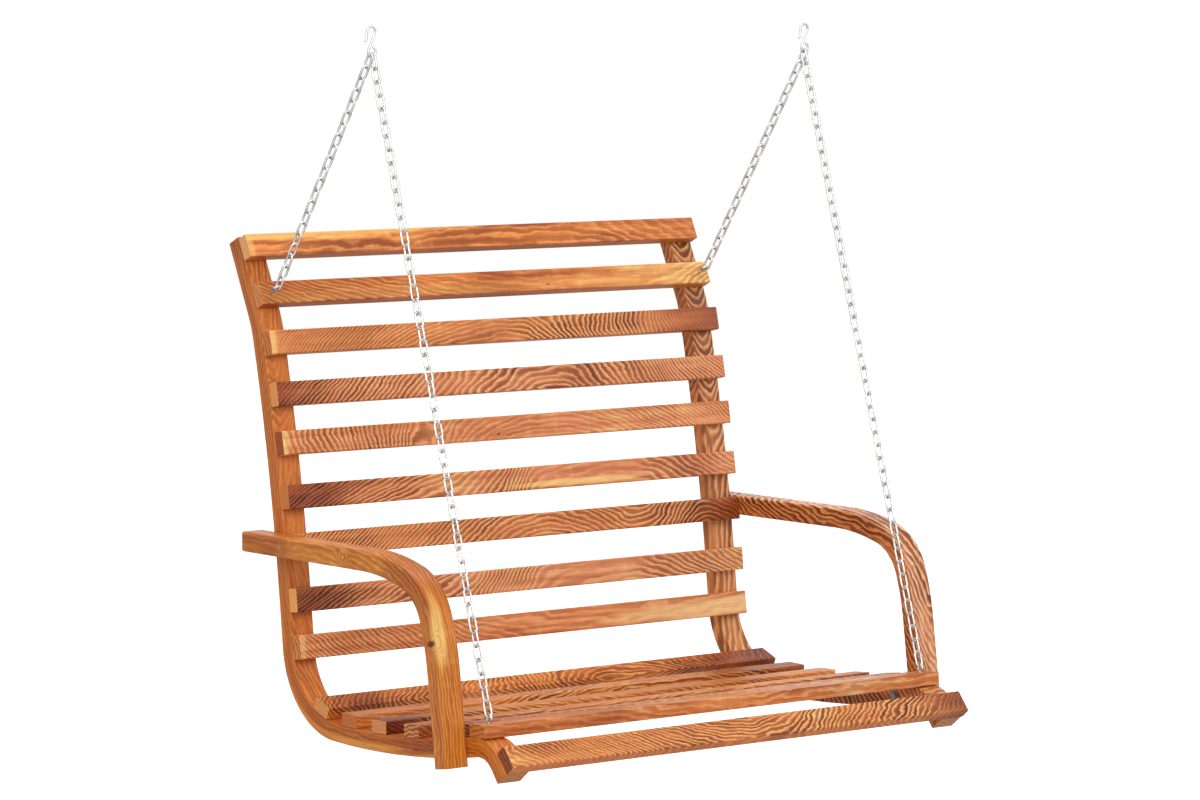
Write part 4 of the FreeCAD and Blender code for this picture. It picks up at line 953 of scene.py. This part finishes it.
def makeChainTree():
    number = "NodeSocketFloat"
    tree, given, result = newGrowth("chainRun", [
        ("Count", "NodeSocketInt", 1), ("Start", "NodeSocketVector", None),
        ("Step", "NodeSocketVector", None), ("Tilt", number, 0.0), ("Link Length", number, 0.029),
        ("Link Width", number, 0.0135), ("Wire Radius", number, 0.002)])
    oval = addNode(tree, "GeometryNodeCurvePrimitiveQuadrilateral",
                   {"Width": given["Link Width"], "Height": given["Link Length"]}).outputs[0]
    bendRadius = times(tree, given["Link Width"], linkShape["bendShare"])
    oval = addNode(tree, "GeometryNodeFilletCurve",
                   {"Curve": oval, "Count": linkShape["bendPoints"], "Radius": bendRadius},
                   mode="POLY").outputs[0]
    oval = addNode(tree, "GeometryNodeTransform",
                   {"Geometry": oval, "Rotation": (math.pi / 2, 0, math.pi / 2)}).outputs[0]
    wire = addNode(tree, "GeometryNodeCurvePrimitiveCircle",
                   {"Resolution": linkShape["wireSides"], "Radius": given["Wire Radius"]}).outputs[0]
    link = addNode(tree, "GeometryNodeCurveToMesh", {"Curve": oval, "Profile Curve": wire}).outputs[0]
    link = addNode(tree, "GeometryNodeSetShadeSmooth",
                   {"Geometry": link, "Shade Smooth": True}).outputs[0]
    row = addNode(tree, "GeometryNodeMeshLine",
                  {"Count": given["Count"], "Start Location": given["Start"],
                   "Offset": given["Step"]}, mode="OFFSET").outputs[0]
    index = addNode(tree, "GeometryNodeInputIndex").outputs[0]
    quarter = times(tree, calc(tree, "MODULO", index, 2.0), math.pi / 2)
    tilted = addNode(tree, "FunctionNodeEulerToRotation",
                     {0: addNode(tree, "ShaderNodeCombineXYZ", {"X": given["Tilt"]}).outputs[0]})
    rolled = addNode(tree, "FunctionNodeEulerToRotation",
                     {0: addNode(tree, "ShaderNodeCombineXYZ", {"Z": quarter}).outputs[0]})
    turn = addNode(tree, "FunctionNodeRotateRotation",
                   {0: tilted.outputs[0], 1: rolled.outputs[0]}, rotation_space="LOCAL").outputs[0]
    links = addNode(tree, "GeometryNodeInstanceOnPoints",
                    {"Points": row, "Instance": link, "Rotation": turn}).outputs[0]
    links = addNode(tree, "GeometryNodeRealizeInstances", {"Geometry": links}).outputs[0]
    return endGrowth(tree, links, given, result)


chainTree = makeChainTree()
chainRuns = {"left_rear_chain": (-hanging["rearEyeX"], 21),
             "left_front_chain": (-hanging["frontEyeX"], 48),
             "right_rear_chain": (hanging["rearEyeX"], 21),
             "right_front_chain": (hanging["frontEyeX"], 48)}


def averagePoint(node):
    corners = [vertex.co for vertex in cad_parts[node].data.vertices]
    return sum(corners, Vector()) / len(corners)


for node, (x, count) in chainRuns.items():
    # The chain hangs taut from the axis, so its middle lies on its line
    middle = averagePoint(node)
    toward = Vector((0, middle.y, middle.z)).normalized()
    first = linkShape["inner"] / 2 - linkShape["hookWire"] / 2 - linkShape["gap"]
    host = hostMesh(f"{node}_links", [(0, 0, 0)], edges=False)
    piece = grow(host, chainTree, {
        "Count": count, "Start": Vector((x, 0, 0)) + toward * first,
        "Step": toward * linkShape["pitch"], "Tilt": math.atan2(toward.y, -toward.z),
        "Link Length": linkShape["inner"] + linkShape["wire"],
        "Link Width": linkShape["outerWidth"] - linkShape["wire"],
        "Wire Radius": linkShape["wire"] / 2, "Material": zinc["chainZinc"]})
    settle(piece, "bench", [node])
print("chains made")


# Round wire along a path, for the hooks
hookShape = {"wire": 0.004, "loopRadius": 0.008, "archRadius": 0.0087, "archHeight": 0.0527,
             "archShift": 0.0035, "legRun": 0.014, "tipRun": 0.005, "tipFlare": 40.0,
             "loopStart": 78.0, "arcStep": 9.0, "wireSides": 14, "capAngle": 70.0,
             "endBevel": 0.0006}


def makeWireTree():
    tree, given, result = newGrowth("roundWire", [
        ("Wire Radius", "NodeSocketFloat", 0.002), ("Sides", "NodeSocketInt", 14)])
    path = addNode(tree, "GeometryNodeMeshToCurve", {0: given["Geometry"]}).outputs[0]
    ring = addNode(tree, "GeometryNodeCurvePrimitiveCircle",
                   {"Resolution": given["Sides"], "Radius": given["Wire Radius"]}).outputs[0]
    wire = addNode(tree, "GeometryNodeCurveToMesh",
                   {"Curve": path, "Profile Curve": ring, "Fill Caps": True}).outputs[0]
    angle = addNode(tree, "GeometryNodeInputMeshEdgeAngle").outputs[0]
    sharp = calc(tree, "GREATER_THAN", angle, math.radians(hookShape["capAngle"]))
    return endGrowth(tree, shadeSmooth(tree, wire, sharp), given, result)


wireTree = makeWireTree()


def hookPath(shape):
    loop = Vector((0, 0, shape["loopRadius"]))
    arch = Vector((-shape["archShift"], 0, shape["archHeight"] - shape["archRadius"]))
    span = (arch - loop).length
    lean = math.degrees(math.asin((shape["loopRadius"] + shape["archRadius"]) / span)
                        - math.asin(shape["archShift"] / span))

    def arc(centre, radius, start, end):
        steps = max(2, round(abs(end - start) / shape["arcStep"]))
        angles = [math.radians(start + (end - start) * step / steps) for step in range(steps + 1)]
        return [centre + Vector((math.cos(angle), 0, math.sin(angle))) * radius for angle in angles]

    points = arc(loop, shape["loopRadius"], shape["loopStart"], -180 - lean)
    points += arc(arch, shape["archRadius"], -lean, 180)
    flare = math.radians(shape["tipFlare"])
    legEnd = points[-1] - Vector((0, 0, shape["legRun"]))
    points += [legEnd, legEnd + Vector((-math.sin(flare), 0, -math.cos(flare))) * shape["tipRun"]]
    return points


def joinPieces(name, pieces):
    # One plain mesh out of several that ride on the same body
    shape = bmesh.new()
    materials = []
    for piece in pieces:
        for material in piece.data.materials:
            if material not in materials:
                materials.append(material)
        shape.from_mesh(piece.data)
    mesh = bpy.data.meshes.new(name)
    shape.to_mesh(mesh)
    shape.free()
    for material in materials:
        mesh.materials.append(material)
    for piece in pieces:
        discard(piece)
    return newObject(name, mesh)


hooks = []
for side in (-1, 1):
    points = [point + Vector((side * hanging["railX"], 0, 0)) for point in hookPath(hookShape)]
    hooks.append(grow(hostMesh(f"hook_wire_{side + 1}", points), wireTree, {
        "Wire Radius": hookShape["wire"] / 2, "Sides": hookShape["wireSides"],
        "Material": zinc["hookZinc"]}, bevelWidth=hookShape["endBevel"]))
settle(joinPieces("s_hook_wires", hooks), "hooks", ["s_hooks"])
print("hooks made")


# Fasteners are turned once and set out on points that know which way they face
def makeSetOutTree():
    tree, given, result = newGrowth("setOut", [("Piece", "NodeSocketObject", None)])
    aim = addNode(tree, "GeometryNodeInputNamedAttribute", {"Name": "aim"},
                  data_type="FLOAT_VECTOR").outputs["Attribute"]
    faced = addNode(tree, "FunctionNodeAlignRotationToVector", {"Vector": aim},
                    axis="Z").outputs[0]
    squared = addNode(tree, "FunctionNodeAlignRotationToVector",
                      {"Rotation": faced, "Vector": (1, 0, 0.001)},
                      axis="X", pivot_axis="Z").outputs[0]
    piece = addNode(tree, "GeometryNodeObjectInfo", {"Object": given["Piece"], "As Instance": True})
    copies = addNode(tree, "GeometryNodeInstanceOnPoints",
                     {"Points": given["Geometry"], "Instance": piece.outputs["Geometry"],
                      "Rotation": squared}).outputs[0]
    copies = addNode(tree, "GeometryNodeRealizeInstances", {"Geometry": copies}).outputs[0]
    return endGrowth(tree, copies, given, result)


setOutTree = makeSetOutTree()


def lathe(shape, outline, sides=24, turn=0.0):
    # Turns an outline of (radius, height) points about Z, and closes it where a radius is zero
    rings = []
    for radius, height in outline:
        if radius <= 0:
            rings.append([shape.verts.new((0, 0, height))])
            continue
        angles = [2 * math.pi * (number + turn) / sides for number in range(sides)]
        rings.append([shape.verts.new((math.cos(angle) * radius, math.sin(angle) * radius, height))
                      for angle in angles])
    for lower, upper in zip(rings, rings[1:]):
        for number in range(sides):
            following = (number + 1) % sides
            corners = [lower[number % len(lower)], lower[following % len(lower)],
                       upper[following % len(upper)], upper[number % len(upper)]]
            corners = [corner for place, corner in enumerate(corners)
                       if corner not in corners[:place]]
            if len(corners) > 2:
                shape.faces.new(corners)


def finishShape(name, shape, smoothAngle=35.0):
    bmesh.ops.remove_doubles(shape, verts=shape.verts, dist=1e-6)
    bmesh.ops.recalc_face_normals(shape, faces=shape.faces)
    for face in shape.faces:
        face.smooth = True
    for edge in shape.edges:
        edge.smooth = (len(edge.link_faces) == 2
                       and edge.calc_face_angle() < math.radians(smoothAngle))
    mesh = bpy.data.meshes.new(name)
    shape.to_mesh(mesh)
    shape.free()
    return newObject(name, mesh)


def setOut(name, prototype, places, material, body, nodes):
    host = hostMesh(name, [place for place, _ in places], edges=False)
    aims = host.data.attributes.new("aim", "FLOAT_VECTOR", "POINT")
    aims.data.foreach_set("vector", [value for _, aim in places for value in aim])
    piece = grow(host, setOutTree, {"Piece": prototype, "Material": material})
    discard(prototype)
    return settle(piece, body, nodes)


def backReach(node, face, normal, reach=0.012):
    # How far a CAD fastener on a slat's axis reaches behind the slat's front face
    found = []
    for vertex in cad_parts[node].data.vertices:
        gap = Vector((0, vertex.co.y, vertex.co.z)) - face
        along = gap.dot(normal)
        if (gap - normal * along).length < reach:
            found.append(along)
    return min(found)


hexagon = {"sides": 6, "turn": 0.5, "smoothAngle": 25.0}


def hexOutline(corner, low, high, chamfer, chamferHeight):
    return [(0, low), (corner - chamfer, low), (corner, low + chamferHeight),
            (corner, high - chamferHeight), (corner - chamfer, high), (0, high)]


def ringOutline(hole, outer, height, lip, lipHeight):
    return [(hole, 0), (outer - lip, 0), (outer, lipHeight), (outer, height - lipHeight),
            (outer - lip, height), (hole, height), (hole, 0)]


def turnedPiece(name, outline, sides, smoothAngle=35.0):
    shape = bmesh.new()
    lathe(shape, outline, sides)
    return finishShape(name, shape, smoothAngle)


def washerPiece(name, outer, shank, clearance, thickness):
    lip, sides = thickness * 0.15, 32
    outline = ringOutline(shank / 2 + clearance, outer / 2, thickness, lip, lip)
    return turnedPiece(name, outline, sides)


# Eye bolts: a ring of wire on a threaded shank, with a washer and a nut behind the rail
eyeShape = {"wire": 0.0044, "ringRadius": 0.0062, "ringSides": 28, "wireSides": 12, "shank": 0.006,
            "shankSides": 20, "tail": 0.004, "threadStart": 0.0004, "threadPitch": 0.001,
            "threadDepth": 0.0003, "threadRun": 0.016, "neck": 0.002, "rootSink": 0.001,
            "rootShare": 0.8, "washerOuter": 0.018, "washerThickness": 0.0016, "nutFlats": 0.010,
            "nutHeight": 0.005, "nutHoleGap": 0.00005, "nutChamfer": 0.0007,
            "nutChamferHeight": 0.0005, "clearance": 0.0003}


def eyeRing(shape, sideView):
    ringSides, wireSides = eyeShape["ringSides"], eyeShape["wireSides"]
    rows = []
    for number in range(ringSides):
        around = 2 * math.pi * number / ringSides
        outward = Vector((0, math.cos(around), math.sin(around)))
        if not sideView:
            outward = Vector((math.cos(around), 0, math.sin(around)))
        sideways = Vector((1, 0, 0)) if sideView else Vector((0, 1, 0))
        row = []
        for step in range(wireSides):
            angle = 2 * math.pi * step / wireSides
            offset = outward * math.cos(angle) + sideways * math.sin(angle)
            row.append(shape.verts.new(outward * eyeShape["ringRadius"]
                                       + offset * eyeShape["wire"] / 2))
        rows.append(row)
    for number in range(ringSides):
        here, there = rows[number], rows[(number + 1) % ringSides]
        for step in range(wireSides):
            following = (step + 1) % wireSides
            shape.faces.new([here[step], here[following], there[following], there[step]])


def eyeBolt(name, reach, sideView):
    shape = bmesh.new()
    eyeRing(shape, sideView)
    radius, depth = eyeShape["shank"] / 2, eyeShape["threadDepth"]
    outline = [(0, -reach), (radius - depth * 2, -reach)]
    for number in range(round(eyeShape["threadRun"] / eyeShape["threadPitch"])):
        height = -reach + eyeShape["threadStart"] + number * eyeShape["threadPitch"]
        outline += [(radius - depth, height), (radius, height + eyeShape["threadPitch"] / 2)]
    root = -eyeShape["ringRadius"] + eyeShape["rootSink"]
    outline += [(radius, -eyeShape["ringRadius"] - eyeShape["neck"]),
                (radius * eyeShape["rootShare"], root), (0, root)]
    lathe(shape, outline, eyeShape["shankSides"])
    return finishShape(name, shape)


eyeRows = {"rear_eye_bolts": ("back_slat_2", hanging["rearEyeX"], 0.020, False),
           "front_eye_bolts": ("front_seat_slat", hanging["frontEyeX"], 0.0088, True)}
nutPlaces, washerPlaces = [], []
for node, (slat, x, height, sideView) in eyeRows.items():
    face, normal, _ = slatFrames[slat]
    tail = backReach(node, face, normal)
    nutLow = tail + eyeShape["tail"]
    heights = {"bolt": height, "nut": nutLow, "washer": nutLow + eyeShape["nutHeight"]}
    places = {piece: [(face + normal * rise + Vector((side * x, 0, 0)), normal)
                      for side in (-1, 1)] for piece, rise in heights.items()}
    setOut(f"{node}_wire", eyeBolt(f"{node}_pattern", height - tail, sideView), places["bolt"],
           zinc["hookZinc"], "bench", [node])
    nutPlaces += places["nut"]
    washerPlaces += places["washer"]
nutOutline = ringOutline(eyeShape["shank"] / 2 + eyeShape["nutHoleGap"],
                         eyeShape["nutFlats"] / math.sqrt(3), eyeShape["nutHeight"],
                         eyeShape["nutChamfer"], eyeShape["nutChamferHeight"])
eyeNut = turnedPiece("nut_pattern", nutOutline, hexagon["sides"], hexagon["smoothAngle"])
setOut("eye_nut_hexes", eyeNut, nutPlaces, zinc["screwZinc"], "bench", ["eye_nuts"])
eyeWasher = washerPiece("washer_pattern", eyeShape["washerOuter"], eyeShape["shank"],
                        eyeShape["clearance"], eyeShape["washerThickness"])
setOut("eye_washer_discs", eyeWasher, washerPlaces, zinc["screwZinc"], "bench", ["eye_washers"])
print("eye bolts made")

# Pan-head wood screws with a cross recess
screwShape = {"head": 0.008, "headHeight": 0.0024, "headSides": 32, "shank": 0.004,
              "recessWidth": 0.00092, "recessReach": 0.0024, "recessDepth": 0.0013,
              "recessTop": 0.6, "visibleShank": 0.012}


def panScrew(name):
    shape = bmesh.new()
    radius, shank, height = screwShape["head"] / 2, screwShape["shank"] / 2, screwShape["headHeight"]
    dome = [(0.0, 0.0), (0.16, 0.01), (0.32, 0.03), (0.48, 0.08), (0.64, 0.17), (0.8, 0.32),
            (0.92, 0.55), (1.0, 1.0)]
    outline = [(radius * share, -height * (1 - drop)) for share, drop in dome]
    outline += [(shank, 0.0), (shank, screwShape["visibleShank"]), (0, screwShape["visibleShank"])]
    lathe(shape, outline, screwShape["headSides"])
    for vertex in shape.verts:
        x, y, z = vertex.co
        inCross = min(abs(x), abs(y)) < screwShape["recessWidth"] / 2
        onTop = z < -height * screwShape["recessTop"]
        if onTop and inCross and math.hypot(x, y) < screwShape["recessReach"]:
            vertex.co.z += screwShape["recessDepth"] * (1 - math.hypot(x, y) / radius)
    return finishShape(name, shape)


def slatScrews(node, slats):
    places = []
    for slat in slats:
        face, normal, _ = slatFrames[slat]
        seat = backReach(node, face, normal) + screwShape["headHeight"]
        places += [(face + normal * seat + Vector((side * hanging["railX"], 0, 0)), normal)
                   for side in (-1, 1)]
    setOut(f"{node}_heads", panScrew(f"{node}_pattern"), places, zinc["screwZinc"], "bench",
           [node])


slatScrews("back_slat_screws", [node for node in slatNodes[:9] if node != "back_slat_2"])
slatScrews("seat_slat_screws", [node for node in slatNodes[9:] if node != "front_seat_slat"])

# Coach screws through the rails into the armrests
coachShape = {"flats": 0.013, "headHeight": 0.0055, "chamfer": 0.0012, "chamferHeight": 0.00072,
              "shank": 0.008, "shankSides": 20, "washerOuter": 0.022,
              "washerThickness": 0.0016, "clearance": 0.0003, "headX": 0.4734,
              "visibleShank": 0.06, "groupReach": 0.03}


def findArmScrews():
    # The middle of each group of CAD washer corners, on both sides, facing the armrests
    groups = []
    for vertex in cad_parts["arm_washers"].data.vertices:
        spot = Vector((0, vertex.co.y, vertex.co.z))
        group = next((spots for spots in groups
                      if (spots[0] - spot).length < coachShape["groupReach"]), None)
        if group is None:
            groups.append([spot])
        else:
            group.append(spot)
    places = []
    for group in groups:
        low = Vector((0, min(spot.y for spot in group), min(spot.z for spot in group)))
        high = Vector((0, max(spot.y for spot in group), max(spot.z for spot in group)))
        places += [((low + high) / 2 + Vector((side * coachShape["headX"], 0, 0)),
                    Vector((side, 0, 0))) for side in (-1, 1)]
    return places


coachPlaces = findArmScrews()
coachScrew = bmesh.new()
headOutline = hexOutline(coachShape["flats"] / math.sqrt(3), -coachShape["headHeight"], 0.0,
                         coachShape["chamfer"], coachShape["chamferHeight"])
lathe(coachScrew, headOutline, hexagon["sides"], hexagon["turn"])
lathe(coachScrew, [(0, 0.0), (coachShape["shank"] / 2, 0.0),
                   (coachShape["shank"] / 2, coachShape["visibleShank"]),
                   (0, coachShape["visibleShank"])], coachShape["shankSides"])
coachScrew = finishShape("coach_pattern", coachScrew, hexagon["smoothAngle"])
setOut("arm_screw_hexes", coachScrew, coachPlaces, zinc["screwZinc"], "bench", ["arm_screws"])
coachWasher = washerPiece("coach_washer_pattern", coachShape["washerOuter"], coachShape["shank"],
                          coachShape["clearance"], coachShape["washerThickness"])
setOut("arm_washer_discs", coachWasher, coachPlaces, zinc["screwZinc"], "bench",
       ["arm_washers"])
print("screws made")

# A pale floor, a white surround and soft studio light
studio = {"floorHeight": -1.72, "floorSize": 14.0, "floorColour": (206, 205, 203),
          "floorRoughness": 0.8, "floorGlow": 0.78, "worldLight": 0.56, "background": 1.0,
          "lampAim": (0, -0.1, -0.7)}
floorMesh = bpy.data.meshes.new("floor")
half = studio["floorSize"] / 2
corners = [(x * half, y * half, studio["floorHeight"])
           for x, y in ((-1, -1), (1, -1), (1, 1), (-1, 1))]
floorMesh.from_pydata(corners, [], [(0, 1, 2, 3)])
floor = newObject("floor", floorMesh)
floorMaterial = bpy.data.materials.new("paleFloor")
floorMaterial.use_nodes = True
tree = floorMaterial.node_tree
shader = tree.nodes["Principled BSDF"]
shader.inputs["Base Color"].default_value = toLinear(studio["floorColour"])
shader.inputs["Roughness"].default_value = studio["floorRoughness"]
rays = addNode(tree, "ShaderNodeLightPath").outputs
glow = times(tree, rays["Is Camera Ray"], studio["floorGlow"])
lifted = addNode(tree, "ShaderNodeEmission", {"Color": (1, 1, 1, 1), "Strength": glow})
mixed = addNode(tree, "ShaderNodeAddShader", {0: shader.outputs[0], 1: lifted.outputs[0]})
tree.links.new(mixed.outputs[0], tree.nodes["Material Output"].inputs["Surface"])
floorMesh.materials.append(floorMaterial)

world = bpy.data.worlds.new("studio")
bpy.context.scene.world = world
world.use_nodes = True
tree = world.node_tree
rays = addNode(tree, "ShaderNodeLightPath").outputs
seen = calc(tree, "MAXIMUM", calc(tree, "MAXIMUM", rays["Is Camera Ray"], rays["Is Glossy Ray"]),
            rays["Is Transmission Ray"])
strength = addNode(tree, "ShaderNodeMapRange", {
    0: seen, 1: 0.0, 2: 1.0, 3: studio["worldLight"], 4: studio["background"]}).outputs[0]
background = tree.nodes["Background"]
background.inputs["Color"].default_value = (1, 1, 1, 1)
tree.links.new(strength, background.inputs["Strength"])

lamps = {
    "keyLamp": {"place": (-3.4, -4.2, 2.4), "size": 2.6, "power": 146.0},
    "fillLamp": {"place": (4.2, -3.0, 1.2), "size": 2.8, "power": 46.0},
    "topLamp": {"place": (0.3, 0.6, 3.0), "size": 2.4, "power": 68.0},
}
for name, lamp in lamps.items():
    lampData = bpy.data.lights.new(name, "AREA")
    lampData.energy = lamp["power"]
    lampData.size = lamp["size"]
    lampObject = bpy.data.objects.new(name, lampData)
    bpy.context.scene.collection.objects.link(lampObject)
    lampObject.location = lamp["place"]
    aim = Vector(studio["lampAim"]) - Vector(lamp["place"])
    lampObject.rotation_euler = aim.to_track_quat("-Z", "Y").to_euler()
bpy.context.scene.view_settings.view_transform = "Standard"
print("studio lit")
